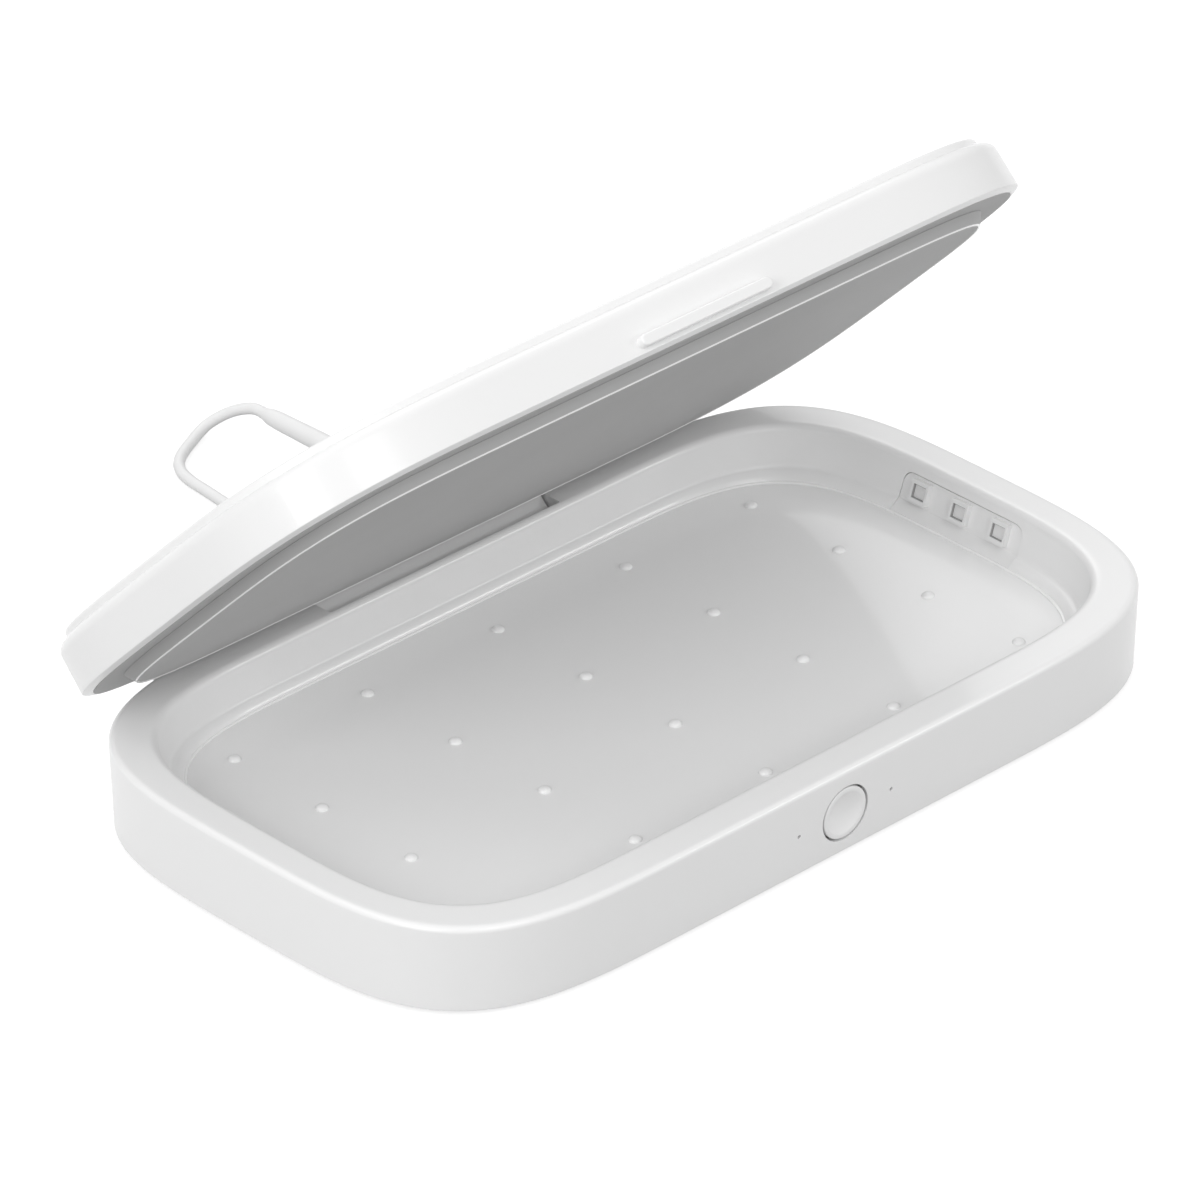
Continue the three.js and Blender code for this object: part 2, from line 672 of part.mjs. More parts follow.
const sensorX = [sensor.placeX - sensor.halfLength, sensor.placeX + sensor.halfLength];
const sensorY = [switchFace - fit - sensor.depth, switchFace - fit];
const sensorZ = [switchBoard.above - sensor.height, switchBoard.above];
add(front, 'lid_sensor', 'chip', blockGeometry(sensorX, sensorY, sensorZ));

// Lamp panels, lamps and their boards at both ends
for (const [place, turn] of [['right', 0], ['left', Math.PI]]) {
  const end = new THREE.Group();
  const tilted = new THREE.Group();
  end.rotation.z = turn;
  tilted.position.set(lampX, 0, lampZ);
  tilted.rotation.y = wallTilt;
  end.add(tilted);
  base.add(end);
  add(tilted, `led_cover_${place}`, 'whitePanel', lampPanel());
  const behind = [flangeBack + fit, flangeBack + fit + lampBoard.thickness];
  const boardHalf = [-lampBoard.halfLength, lampBoard.halfLength];
  const tall = [-lampBoard.halfHeight, lampBoard.halfHeight];
  add(tilted, `led_board_${place}`, 'board', blockGeometry(behind, boardHalf, tall));
  lampPlaces().forEach((y, i) => {
    add(tilted, `uv_led_${place}_${i + 1}`, 'lamp', lampShape()).position.y = y;
  });
}

// Flat leads from the main board, lying on the board's height and turned up at their ends
function ribbonShape(points, width) {
  const half = width / 2;
  return alongY(polygon(points), width).translate(0, -half, 0);
}

const leadZ = boardTop + fit;
const screwRowY = outerForm.halfDepth - coverScrew.sideInset;
const lampLeadY = screwRowY - bossRadius - ribbon.bossGap - ribbon.width / 2;
const leadTop = leadZ + ribbon.thickness;
const lampBoardLow = new THREE.Vector3(flangeBack + fit, 0, -lampBoard.halfHeight).applyMatrix4(panelMatrix);
for (const [place, turn, from] of [['right', 0, board.right], ['left', Math.PI, board.left]]) {
  const x1 = lampBoardLow.x + lampBoard.thickness / 2;
  const x0 = x1 - ribbon.thickness;
  const high = lampBoardLow.z - 2 * fit;
  const start = from - ribbon.overlap;
  const points = [[start, leadZ], [x1, leadZ], [x1, high], [x0, high], [x0, leadTop], [start, leadTop]];
  const lead = ribbonShape(points, ribbon.width);
  const mesh = add(base, `lamp_lead_${place}`, 'ribbon', lead);
  mesh.rotation.z = turn;
  mesh.position.y = lampLeadY;
}

const backOfSwitch = outerForm.halfDepth - wallLean(leadZ) - switchFace - switchBoard.thickness - fit;
const leadBack = -boardFront - ribbon.overlap;
const leadRise = leadTop + ribbon.rise;
const switchLead = [
  [leadBack, leadZ],
  [backOfSwitch, leadZ],
  [backOfSwitch, leadRise],
  [backOfSwitch - ribbon.thickness, leadRise],
  [backOfSwitch - ribbon.thickness, leadTop],
  [leadBack, leadTop],
];
add(base, 'switch_lead', 'ribbon', ribbonShape(switchLead, ribbon.width)).rotation.z = -quarterTurn;

// Hinge pin in the base's cheeks
const pinHalf = hinge.halfWidth + hinge.pinHold;
add(base, 'hinge_pin', 'steel', bar([-pinHalf, hingeY, hingeZ], [pinHalf, hingeY, hingeZ], hinge.pinRadius));

// Lid shell: side wall with a soft shoulder, the grip at its front and bosses under its ceiling
function gripBar() {
  const half = grip.height / 2;
  const tab = alongY(roundedShape(grip.halfLength, half, grip.round), grip.proud + grip.root, grip.bevel);
  return solid(tab.translate(0, -outerForm.halfDepth - grip.proud, lipZ + grip.lift + half));
}

function lidShellShape() {
  const { shoulder, draft, wall } = lidShell;
  const rise = lidShoulder - shoulder.drop;
  const across = shoulder.inset - draft;
  let shape = solid(loft([
    ring(outerForm, lidCeiling, wall + shoulder.inset),
    ring(outerForm, rise, wall + draft),
    ring(outerForm, lipZ, wall),
    ring(outerForm, lipZ, lidShell.edgeRound),
    ring(outerForm, lipZ + lidShell.edgeRound, 0),
    ...roundShares.map(([a, b]) => ring(outerForm, rise + shoulder.drop * b, draft + across * a)),
  ]));
  shape = shape.add(gripBar());
  for (const [, x, y] of corners(linerScrew)) {
    const low = linerTop + screw.headHeight + fit + fit;
    shape = shape.add(screwBoss(x, y, low, lidCeiling + wall / 2));
    shape = shape.subtract(screwHole(x, y, low - overrun, lidCeiling - fit));
  }
  for (const x of [-armScrew.placeX, armScrew.placeX]) {
    shape = shape.add(screwBoss(x, armScrewY, armFootTop + fit, lidCeiling + wall / 2));
    shape = shape.subtract(screwHole(x, armScrewY, armFootTop, lidCeiling - fit));
  }
  return shape;
}

const armFootZ = lipTop + fit;
const armFootTop = armFootZ + arm.foot;
const armScrewY = hingeY - arm.footDepth + arm.screwInset;
add(lid, 'lid_shell', 'whiteShell', lidShellShape());

const plateZ = lidShoulder + fit;
add(lid, 'lid_top_plate', 'whiteShell', loft([
  ring(outerForm, plateZ, topPlate.inset),
  ...roundShares.map(([a, b]) => {
    const z = plateZ + topPlate.thickness + topPlate.round * (b - 1);
    return ring(outerForm, z, topPlate.inset + topPlate.round * a);
  }),
]));

// Rings round the platform that drops into the tray: its wall's top under the lip, and its foot
const wallTopRing = (z, inset) => {
  return ring(trayForm, z, liner.lipInset.length + inset, liner.lipInset.depth + inset);
};
const platformRing = (z, inset) => {
  return ring(trayForm, z, liner.platformInset.length + inset, liner.platformInset.depth + inset);
};

// Lid liner: the flat lip that meets the rim inside the shell's edge, and the seat of the reflector
function lidLiner() {
  const { sheet } = liner;
  const skirtOut = lidShell.wall + fit;
  const seatIn = reflector.thickness + fit;
  let shape = solid(loft([
    platformRing(seatZ, seatIn),
    wallTopRing(lipZ, seatIn),
    ring(outerForm, lipZ, skirtOut),
    ring(outerForm, lipTop + liner.skirtHeight, skirtOut),
    ring(outerForm, lipTop + liner.skirtHeight, skirtOut + liner.skirt),
    ring(outerForm, lipTop, skirtOut + liner.skirt),
    wallTopRing(lipTop, seatIn + sheet),
    platformRing(linerTop, seatIn + sheet),
  ]));
  for (const [, x, y] of corners(linerScrew)) {
    const high = linerTop + screw.headHeight + fit;
    shape = shape.add(bar([x, y, linerTop - sheet / 2], [x, y, high], screw.headRadius + fit + sheet));
    const seat = seatZ + screw.headHeight + fit;
    shape = shape.subtract(bar([x, y, seatZ - overrun], [x, y, seat], screw.headRadius + fit));
    shape = shape.subtract(screwHole(x, y, seatZ, high + overrun));
  }
  const slotHalf = hinge.halfWidth - arm.endGap + fit;
  const slotY = [hingeY - arm.thickness - fit, hingeY + fit];
  const slotZ = [lipZ - overrun, lipTop + liner.skirtHeight + overrun];
  return shape.subtract(block([-slotHalf, slotHalf], slotY, slotZ));
}

add(lid, 'lid_liner', 'whiteTray', lidLiner());

// Reflector: a shallow pan pressed over the platform, its wall up to the lip
add(lid, 'reflector_plate', 'greyPlate', loft([
  platformRing(platformZ, reflector.round),
  platformRing(platformZ + reflector.round, -reflector.round / 2),
  wallTopRing(lipZ - fit, 0),
  wallTopRing(lipZ - fit, reflector.thickness),
  platformRing(platformZ + reflector.thickness, reflector.thickness),
]));

for (const [place, x, y] of corners(linerScrew)) {
  add(lid, `lid_screw_${place}`, 'steel', screwGeometry(linerScrew.length)).position.set(x, y, seatZ);
}

// Hinge bracket: a barrel on the pin, an arm up through the liner and a foot under the shell's bosses
function hingeBracket() {
  const half = hinge.halfWidth - arm.endGap;
  const screwY = armScrewY;
  const onPin = (x0, x1, radius) => {
    return bar([x0, hingeY, hingeZ], [x1, hingeY, hingeZ], radius, radius, roundSides);
  };
  let shape = onPin(-half, half, hinge.barrelRadius);
  shape = shape.add(block([-half, half], [hingeY - arm.thickness, hingeY], [hingeZ, armFootTop]));
  shape = shape.add(block([-half, half], [hingeY - arm.footDepth, hingeY], [armFootZ, armFootTop]));
  shape = shape.subtract(onPin(-half - overrun, half + overrun, hinge.pinRadius + fit));
  for (const side of [-1, 1]) {
    const x = side * armScrew.placeX;
    const seatTop = [x, screwY, armFootZ + screw.headHeight + fit];
    const seat = bar([x, screwY, armFootZ - overrun], seatTop, screw.headRadius + fit);
    shape = shape.subtract(seat).subtract(screwHole(x, screwY, armFootZ, armFootTop + overrun));
    const inner = side * (half - hinge.bushLength);
    const bore = hinge.pinRadius + fit + hinge.bushWall + fit;
    shape = shape.subtract(onPin(inner, side * (half + overrun), bore));
  }
  return shape;
}

add(lid, 'hinge_bracket', 'whiteTray', hingeBracket());

for (const [place, side] of [['left', -1], ['right', 1]]) {
  const x = side * armScrew.placeX;
  const armScrewMesh = add(lid, `arm_screw_${place}`, 'steel', screwGeometry(armScrew.length));
  armScrewMesh.position.set(x, armScrewY, armFootZ);
  const outer = hinge.halfWidth - arm.endGap;
  const bore = hinge.pinRadius + fit;
  const ends = [side * (outer - hinge.bushLength + fit), side * outer];
  const sleeveBody = bar([ends[0], hingeY, hingeZ], [ends[1], hingeY, hingeZ], bore + hinge.bushWall);
  const far = [ends[0] - side * overrun, ends[1] + side * overrun];
  const through = bar([far[0], hingeY, hingeZ], [far[1], hingeY, hingeZ], bore);
  add(lid, `friction_bush_${place}`, 'acetal', sleeveBody.subtract(through));
}

const magnetY = -outerForm.halfDepth + lidShell.wall + liner.skirt + magnet.radius + 3 * fit;
const magnetZ = lipTop + fit;
const magnetEnd = [sensor.placeX, magnetY, magnetZ + magnet.thickness];
add(lid, 'lid_magnet', 'magnet', bar([sensor.placeX, magnetY, magnetZ], magnetEnd, magnet.radius));

// Cable plug at the back wall, its tip in the socket and the tapering sleeve behind it
const plugStart = fit - wallLean(socketZ + plug.height / 2);
const plugEnd = plugStart + plug.length;
const plugBody = alongY(roundedShape(plug.halfWidth, plug.height / 2, plug.corner), plug.length, plug.bevel);
add(cord, 'cable_plug', 'cable', plugBody).position.set(socket.placeX, plugStart, socketZ);

const tipShape = roundedShape(plugTip.halfWidth, plugTip.height / 2, plugTip.height / 2);
const tipY = plugStart - fit - plugTip.length;
add(cord, 'plug_tip', 'steel', alongY(tipShape, plugTip.length)).position.set(socket.placeX, tipY, socketZ);

const sleeveStart = [socket.placeX, plugEnd + fit, socketZ];
const sleeveEnd = [socket.placeX - sleeve.drift, plugEnd + fit + sleeve.length, socketZ - sleeve.droop];
add(cord, 'strain_relief', 'cable', bar(sleeveStart, sleeveEnd, sleeve.startRadius, sleeve.endRadius));

// The cable's free stretches, chosen point by point: off the sleeve, down to the floor and to the coil
const cordRadius = cable.diameter / 2;
const cordFloor = cordRadius + cable.floorGap;
const layerRise = cable.diameter + wound.strandGap;
const coilFloor = tie.strap + fit + cordRadius;
const coilStart = [wound.centreX + wound.radius, wound.centreY + cable.diameter, coilFloor];
const freeRoute = [
  [27.7, 76.25, 5.9],
  [27.5, 78.65, 5.8],
  [26.6, 81.15, 5.1],
  [25.2, 83.25, 4.1],
  [23.4, 84.75, 3.0],
  [20.9, 85.45, 2.0],
  [18.0, 84.85, 1.4],
  [15.1, 83.55, cordFloor],
  [12.3, 82.15, cordFloor],
  [9.6, 80.55, cordFloor],
  [7.2, 78.45, cordFloor],
  [5.4, 75.45, cordFloor],
  [4.5, 71.85, cordFloor],
  [4.1, 67.25, cordFloor],
  [3.6, 61.85, cordFloor],
  [3.2, 56.45, cordFloor],
  [3.6, 51.25, cordFloor],
  [5.8, 46.65, cordFloor],
  [9.8, 43.15, cordFloor],
  [14.1, 39.85, cordFloor],
  [17.6, 35.65, 1.5],
  [19.6, 31.15, 1.8],
  [20.5, 26.45, coilFloor],
  [20.5, 24.05, coilFloor],
];
const tailTop = coilFloor + layerRise * (wound.layers - 1);
const tailRoute = [
  [0.7, 3.55, tailTop],
  [-1.8, 3.55, tailTop],
  [-4.6, 3.75, tailTop - 0.1],
  [-8.0, 4.35, tailTop - 1],
  [-11.4, 5.55, 7.7],
  [-14.6, 6.95, 5.6],
  [-18.0, 8.45, 4.4],
  [-20.4, 9.45, 4.1],
  [-22.6, 10.35, 4.1],
];

function tube(route, steps) {
  const points = route.map((point) => new THREE.Vector3(...point));
  const path = new THREE.CatmullRomCurve3(points, false, 'centripetal');
  const section = polygon(Array.from({ length: cable.sides }, (_, i) => {
    const angle = (2 * Math.PI * i) / cable.sides;
    return [cordRadius * Math.cos(angle), cordRadius * Math.sin(angle)];
  }));
  const geometry = new THREE.ExtrudeGeometry(section, { steps, extrudePath: path, bevelEnabled: false });
  return { geometry, length: path.getLength() };
}

const freeStretch = tube(freeRoute, cable.freeSteps);
add(cord, 'power_cord', 'cable', freeStretch.geometry);
const tailStretch = tube(tailRoute, cable.tailSteps);
add(cord, 'cord_tail', 'cable', tailStretch.geometry);

// The coil as one tube; a layer is climbed in the half turn where its spiral reverses
function coilPath() {
  const turns = wound.layers * wound.turnsPerLayer + wound.extraTurn;
  const steps = Math.round(turns * wound.stepsPerTurn);
  return Array.from({ length: steps + 1 }, (_, step) => {
    const turn = step / wound.stepsPerTurn;
    const layer = Math.min(Math.floor(turn / wound.turnsPerLayer), wound.layers - 1);
    const within = turn - layer * wound.turnsPerLayer;
    const inward = layer % 2 === 0 ? within : wound.turnsPerLayer - within;
    let climb = layer;
    for (const [reverse, sign] of [[within, 1], [wound.turnsPerLayer - within, -1]]) {
      const between = sign > 0 ? layer > 0 : layer < wound.layers - 1;
      const near = Math.max(0, 1 - reverse / wound.climbTurns) / 2;
      if (between) climb -= sign * near;
    }
    const angle = -2 * Math.PI * turn;
    return { angle, radius: wound.radius - inward * layerRise, z: coilFloor + climb * layerRise };
  });
}

function coilPlace({ angle, radius, z }) {
  const x = wound.centreX + radius * Math.cos(angle);
  return new THREE.Vector3(x, wound.centreY + radius * Math.sin(angle), z);
}

function coilGeometry(path) {
  const ringAt = (place, angle) => Array.from({ length: cable.coilSides }, (_, i) => {
    const around = (2 * Math.PI * i) / cable.coilSides;
    const out = cordRadius * Math.cos(around);
    const up = cordRadius * Math.sin(around);
    const offset = new THREE.Vector3(out * Math.cos(angle), out * Math.sin(angle), up);
    return offset.add(place);
  });
  const heading = (angle) => new THREE.Vector3(Math.sin(angle), -Math.cos(angle), 0);
  const first = path[0];
  const last = path.at(-1);
  const lead = coilPlace(first).addScaledVector(heading(first.angle), -cable.diameter);
  const trail = coilPlace(last).addScaledVector(heading(last.angle), cable.diameter);
  return loft([
    ringAt(lead, first.angle),
    ...path.map((point) => ringAt(coilPlace(point), point.angle)),
    ringAt(trail, last.angle),
  ]);
}

function leastCoilGap(places) {
  const apart = Math.round(wound.stepsPerTurn / 2);
  let least = Infinity;
  for (let i = 0; i < places.length; i += 1) {
    for (let j = i + apart; j < places.length; j += 1) {
      least = Math.min(least, places[i].distanceTo(places[j]));
    }
  }
  return least - cable.diameter;
}

const windings = coilPath();
const windingPlaces = windings.map(coilPlace);
const windingSteps = windingPlaces.slice(1).map((place, i) => place.distanceTo(windingPlaces[i]));
const woundLength = windingSteps.reduce((sum, step) => sum + step, 0);
add(cord, 'cord_coil', 'cable', coilGeometry(windings));
console.log(`least gap of the coil to itself: ${leastCoilGap(windingPlaces).toFixed(2)} mm`);
const cordLength = freeStretch.length + woundLength + 2 * cable.diameter + tailStretch.length;
console.log(`cable length: ${cordLength.toFixed(0)} mm, of which coiled ${woundLength.toFixed(0)} mm`);

// The tie round the coil's west side
const coilTop = tailTop + cordRadius;
const tieOut = wound.radius + cordRadius + tie.play;
const tieIn = wound.radius - wound.turnsPerLayer * layerRise - cordRadius - tie.play;
const tieHalf = (tieOut - tieIn) / 2 + tie.strap;
const tieHigh = (coilTop + fit + tie.strap) / 2;
const tieShape = roundedShape(tieHalf, tieHigh, tie.strap + tie.play);
tieShape.holes.push(roundedShape(tieHalf - tie.strap, tieHigh - tie.strap, tie.play));
const tieMesh = add(cord, 'cord_tie', 'chip', alongY(tieShape, tie.width, 0, 2));
tieMesh.position.set(wound.centreX - (tieOut + tieIn) / 2, wound.centreY - tie.width / 2, tieHigh);

// The plug at the far end, lying on the floor beside the coil
const far = new THREE.Group();
const [farX, farY] = tailRoute.at(-1);
far.position.set(farX, farY, farPlug.lift + farPlug.height / 2);
far.rotation.z = quarterTurn - THREE.MathUtils.degToRad(farPlug.turn);
cord.add(far);
const farForm = roundedShape(farPlug.halfWidth, farPlug.height / 2, farPlug.corner);
const farBody = alongY(farForm, farPlug.length, farPlug.bevel);
add(far, 'usb_plug_body', 'cable', farBody).position.y = fit;
const shellForm = roundedShape(farShell.halfWidth, farShell.height / 2, farShell.wall);
const mouthHalf = farShell.halfWidth - farShell.wall;
const mouthForm = roundedShape(mouthHalf, farShell.height / 2 - farShell.wall, farShell.wall / 2);
const mouth = solid(alongY(mouthForm, farShell.length).translate(0, farShell.length - farShell.mouth, 0));
const shellShape = solid(alongY(shellForm, farShell.length)).subtract(mouth);
add(far, 'usb_plug_shell', 'steel', shellShape).position.y = farPlug.length + 2 * fit;

// The origin is under the middle of the box and its open lid, without the cable
base.add(front);
const box = new THREE.Group();
box.add(base, lidTurn);
box.updateMatrixWorld(true);
const extent = new THREE.Box3().setFromObject(box, true);
const group = new THREE.Group();
group.add(box, cord);
group.position.y = -(extent.min.y + extent.max.y) / 2;
group.updateMatrixWorld(true);
console.log(`box without cable, y ${extent.min.y.toFixed(3)} to ${extent.max.y.toFixed(3)} mm`);

export default group;
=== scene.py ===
import json
import math

import bmesh
import bpy
from mathutils import Matrix, Vector


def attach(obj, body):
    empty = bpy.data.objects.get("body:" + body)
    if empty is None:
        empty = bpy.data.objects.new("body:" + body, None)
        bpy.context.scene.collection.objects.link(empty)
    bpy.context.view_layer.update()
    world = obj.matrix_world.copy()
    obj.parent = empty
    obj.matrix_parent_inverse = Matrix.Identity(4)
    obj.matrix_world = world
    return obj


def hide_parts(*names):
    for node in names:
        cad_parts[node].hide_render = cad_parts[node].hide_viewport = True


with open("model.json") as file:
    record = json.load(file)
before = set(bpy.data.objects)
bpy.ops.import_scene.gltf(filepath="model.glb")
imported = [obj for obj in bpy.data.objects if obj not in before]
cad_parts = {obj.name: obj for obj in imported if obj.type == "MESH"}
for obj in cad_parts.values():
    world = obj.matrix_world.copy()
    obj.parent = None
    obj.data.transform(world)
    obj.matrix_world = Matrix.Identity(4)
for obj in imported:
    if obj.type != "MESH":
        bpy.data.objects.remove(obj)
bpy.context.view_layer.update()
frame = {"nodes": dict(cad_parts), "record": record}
print("frame loaded:", len(frame["nodes"]), "nodes")

# Lengths are in millimetres round the box's own middle, with the lid closed,
# and settle() takes a finished piece to its place in metres, with the lid turned open.
mm = 0.001
middleY = -4.808
outer = {"halfLength": 98.45, "halfDepth": 57.75, "endReach": 59.7, "squareness": 3.7}
tray = {"halfLength": 90.45, "halfDepth": 49.0, "endReach": 50.3, "squareness": 3.85}
levels = {
    "bottom": 0.8,
    "coverTop": 2.6,
    "trayUnder": 7.0,
    "floor": 8.8,
    "crease": 10.8,
    "rimUnder": 16.9,
    "rim": 18.9,
    "platform": 17.0,
    "seat": 17.9,
    "lip": 19.3,
    "shoulder": 30.1,
    "plate": 30.13,
    "top": 31.8,
}
hinge = {"y": 55.4, "z": 14.5, "restAngle": 44.9}
wall = {"lean": 1.02, "thickness": 2.0}
fit = 0.3


def leanAt(z):
    return wall["lean"] * (levels["rim"] - z) / (levels["rim"] - levels["bottom"])


# selecting, placing and joining
def pick(*objects):
    if bpy.context.object and bpy.context.object.mode != "OBJECT":
        bpy.ops.object.mode_set(mode="OBJECT")
    bpy.ops.object.select_all(action="DESELECT")
    for obj in objects:
        obj.select_set(True)
    bpy.context.view_layer.objects.active = objects[0]


def placeBy(obj, matrix):
    pick(obj)
    obj.matrix_world = matrix
    bpy.ops.object.transform_apply(location=True, rotation=True, scale=True)
    return obj


def settle(obj, onLid=False):
    matrix = Matrix.Translation((0, middleY * mm, 0)) @ Matrix.Scale(mm, 4)
    if onLid:
        pin = Vector((0, hinge["y"], hinge["z"]))
        opening = Matrix.Rotation(-math.radians(hinge["restAngle"]), 4, "X")
        matrix = matrix @ Matrix.Translation(pin) @ opening @ Matrix.Translation(-pin)
    return placeBy(obj, matrix)


def copyOf(obj, name, matrix=None):
    twin = obj.copy()
    twin.data = obj.data.copy()
    twin.name = name
    bpy.context.collection.objects.link(twin)
    return placeBy(twin, matrix or Matrix.Identity(4))


def joined(name, objects):
    pick(*objects)
    bpy.ops.object.join()
    objects[0].name = name
    return objects[0]


def applyModifier(obj, kind, **settings):
    pick(obj)
    modifier = obj.modifiers.new(kind.lower(), kind)
    for key, value in settings.items():
        setattr(modifier, key, value)
    bpy.ops.object.modifier_apply(modifier=modifier.name)
    return obj


def combine(obj, tool, operation="DIFFERENCE"):
    applyModifier(obj, "BOOLEAN", object=tool, operation=operation, solver="EXACT")
    bpy.data.objects.remove(tool)
    return obj


def roundEdges(obj, width, segments=2, angle=35):
    return applyModifier(
        obj, "BEVEL", width=width, segments=segments, limit_method="ANGLE",
        angle_limit=math.radians(angle), miter_outer="MITER_ARC", use_clamp_overlap=True,
    )


def smooth(obj, angle=32):
    pick(obj)
    bpy.ops.object.shade_smooth_by_angle(angle=math.radians(angle))
    return applyModifier(obj, "WEIGHTED_NORMAL", keep_sharp=True, weight=80)


# outlines, and skins raised from them row by row
def outlineOf(form, steps=40):
    straight = form["halfLength"] - form["endReach"]
    power = 2 / form["squareness"]
    quarter = []
    for step in range(steps + 1):
        angle = math.pi / 2 * step / steps
        x = straight + form["endReach"] * max(math.cos(angle), 0) ** power
        quarter.append((x, form["halfDepth"] * math.sin(angle) ** power))
    back = quarter + [(-x, y) for x, y in reversed(quarter)]
    return back + [(x, -y) for x, y in reversed(back[1:-1])]


def roundedOutline(halfWidth, halfHeight, radius, steps=8):
    points = []
    for turn, (sideX, sideY) in enumerate([(1, 1), (-1, 1), (-1, -1), (1, -1)]):
        for step in range(steps + 1):
            angle = math.pi / 2 * (turn + step / steps)
            x = sideX * (halfWidth - radius) + radius * math.cos(angle)
            points.append((x, sideY * (halfHeight - radius) + radius * math.sin(angle)))
    return points


def roundOutline(sides):
    angles = [2 * math.pi * i / sides for i in range(sides)]
    return [(math.cos(angle), math.sin(angle)) for angle in angles]


def roundRows(inset, across, start, rise, steps):
    rows = []
    for step in range(steps + 1):
        angle = math.pi / 2 * step / steps
        rows.append((inset + across * (1 - math.cos(angle)), start + rise * math.sin(angle)))
    return rows


def pickOpenRings(height):
    bpy.ops.mesh.select_mode(type="EDGE")
    bpy.ops.mesh.select_all(action="DESELECT")
    mesh = bmesh.from_edit_mesh(bpy.context.object.data)
    for edge in mesh.edges:
        level = all(abs(vertex.co.z - height) < 1e-4 for vertex in edge.verts)
        edge.select = level and len(edge.link_faces) < 2
    bmesh.update_edit_mesh(bpy.context.object.data)


def capRing(height):
    pickOpenRings(height)
    bpy.ops.mesh.edge_face_add()


def raiseSkin(name, outline, rows, closeStart=True, closeEnd=True):
    # rows hold the outline's scale in x and y, and its height
    bpy.ops.object.select_all(action="DESELECT")
    bpy.ops.mesh.primitive_circle_add(vertices=len(outline), radius=1, fill_type="NOTHING")
    obj = bpy.context.object
    obj.name = name
    scaleX, scaleY, height = rows[0]
    for vertex, (x, y) in zip(obj.data.vertices, outline):
        vertex.co = (x * scaleX, y * scaleY, height)
    bpy.ops.object.mode_set(mode="EDIT")
    bpy.ops.mesh.select_all(action="SELECT")
    for before, after in zip(rows, rows[1:]):
        rise = {"value": (0, 0, after[2] - before[2])}
        bpy.ops.mesh.extrude_region_move(TRANSFORM_OT_translate=rise)
        growth = (after[0] / before[0], after[1] / before[1], 1)
        bpy.ops.transform.resize(value=growth, center_override=(0, 0, after[2]))
    if closeStart:
        capRing(rows[0][2])
    if closeEnd:
        capRing(rows[-1][2])
    bpy.ops.mesh.select_all(action="SELECT")
    bpy.ops.mesh.normals_make_consistent(inside=False)
    bpy.ops.object.mode_set(mode="OBJECT")
    return obj


def skinOn(form, name, rows, closeStart=True, closeEnd=True):
    # rows hold one inset all round, or one each for x and y, and then the height
    scales = []
    for *insets, height in rows:
        scaleX = 1 - insets[0] / form["halfLength"]
        scaleY = 1 - insets[-1] / form["halfDepth"]
        scales.append((scaleX, scaleY, height))
    return raiseSkin(name, outlineOf(form), scales, closeStart, closeEnd)


def turned(name, profile, sides=48):
    rows = [(radius, radius, height) for radius, height in profile]
    return raiseSkin(name, roundOutline(sides), rows)


def bridgeAt(obj, height):
    # joins the two open rings that lie at one height
    pick(obj)
    bpy.ops.object.mode_set(mode="EDIT")
    pickOpenRings(height)
    bpy.ops.mesh.bridge_edge_loops()
    bpy.ops.mesh.select_all(action="SELECT")
    bpy.ops.mesh.normals_make_consistent(inside=False)
    bpy.ops.object.mode_set(mode="OBJECT")


def blockBetween(name, x, y, z, rounding=0.0):
    bpy.ops.object.select_all(action="DESELECT")
    bpy.ops.mesh.primitive_cube_add(size=1)
    obj = bpy.context.object
    obj.name = name
    size = [high - low for low, high in (x, y, z)]
    middle = [(low + high) / 2 for low, high in (x, y, z)]
    placeBy(obj, Matrix.Translation(middle) @ Matrix.Diagonal((*size, 1)))
    return roundEdges(obj, rounding) if rounding else obj


def barBetween(name, start, end, radius, sides=48, bevel=0.0):
    axis = Vector(end) - Vector(start)
    length = axis.length
    profile = [(radius, 0), (radius, length)]
    if bevel:
        ends = roundRows(0, bevel, 0, bevel, 3)
        profile = [(radius - inset, bevel - height) for inset, height in reversed(ends)]
        profile += [(radius - inset, length - bevel + height) for inset, height in ends]
    obj = turned(name, profile, sides)
    turn = Vector((0, 0, 1)).rotation_difference(axis).to_matrix().to_4x4()
    return placeBy(obj, Matrix.Translation(start) @ turn)


# the wall that leans back at the front: x along it, y into it
buttonZ = 9.25
leanAngle = math.atan2(wall["lean"], levels["rim"] - levels["bottom"])
frontWall = Matrix.Translation((0, leanAt(buttonZ) - outer["halfDepth"], buttonZ))
frontWall = frontWall @ Matrix.Rotation(leanAngle, 4, "X")

# the tray's right end wall: x into it, z up it
lampAt = {"height": 13.6, "wallTop": 17.4, "taper": 2.3}
endTilt = math.atan2(lampAt["taper"], lampAt["wallTop"] - levels["crease"])
lampX = tray["halfLength"] - (lampAt["wallTop"] - lampAt["height"]) * math.tan(endTilt)
endWall = Matrix.Translation((lampX, 0, lampAt["height"])) @ Matrix.Rotation(endTilt, 4, "Y")
leftEnd = Matrix.Rotation(math.pi, 4, "Z")

cameraView = {
    "place": (-1.08822, -1.13882, 0.96081),
    "azimuth": -43.615,
    "elevation": 30.615,
    "roll": 0.362,
    "lens": 292.64,
    "sensor": 36,
    "reach": 20,
}


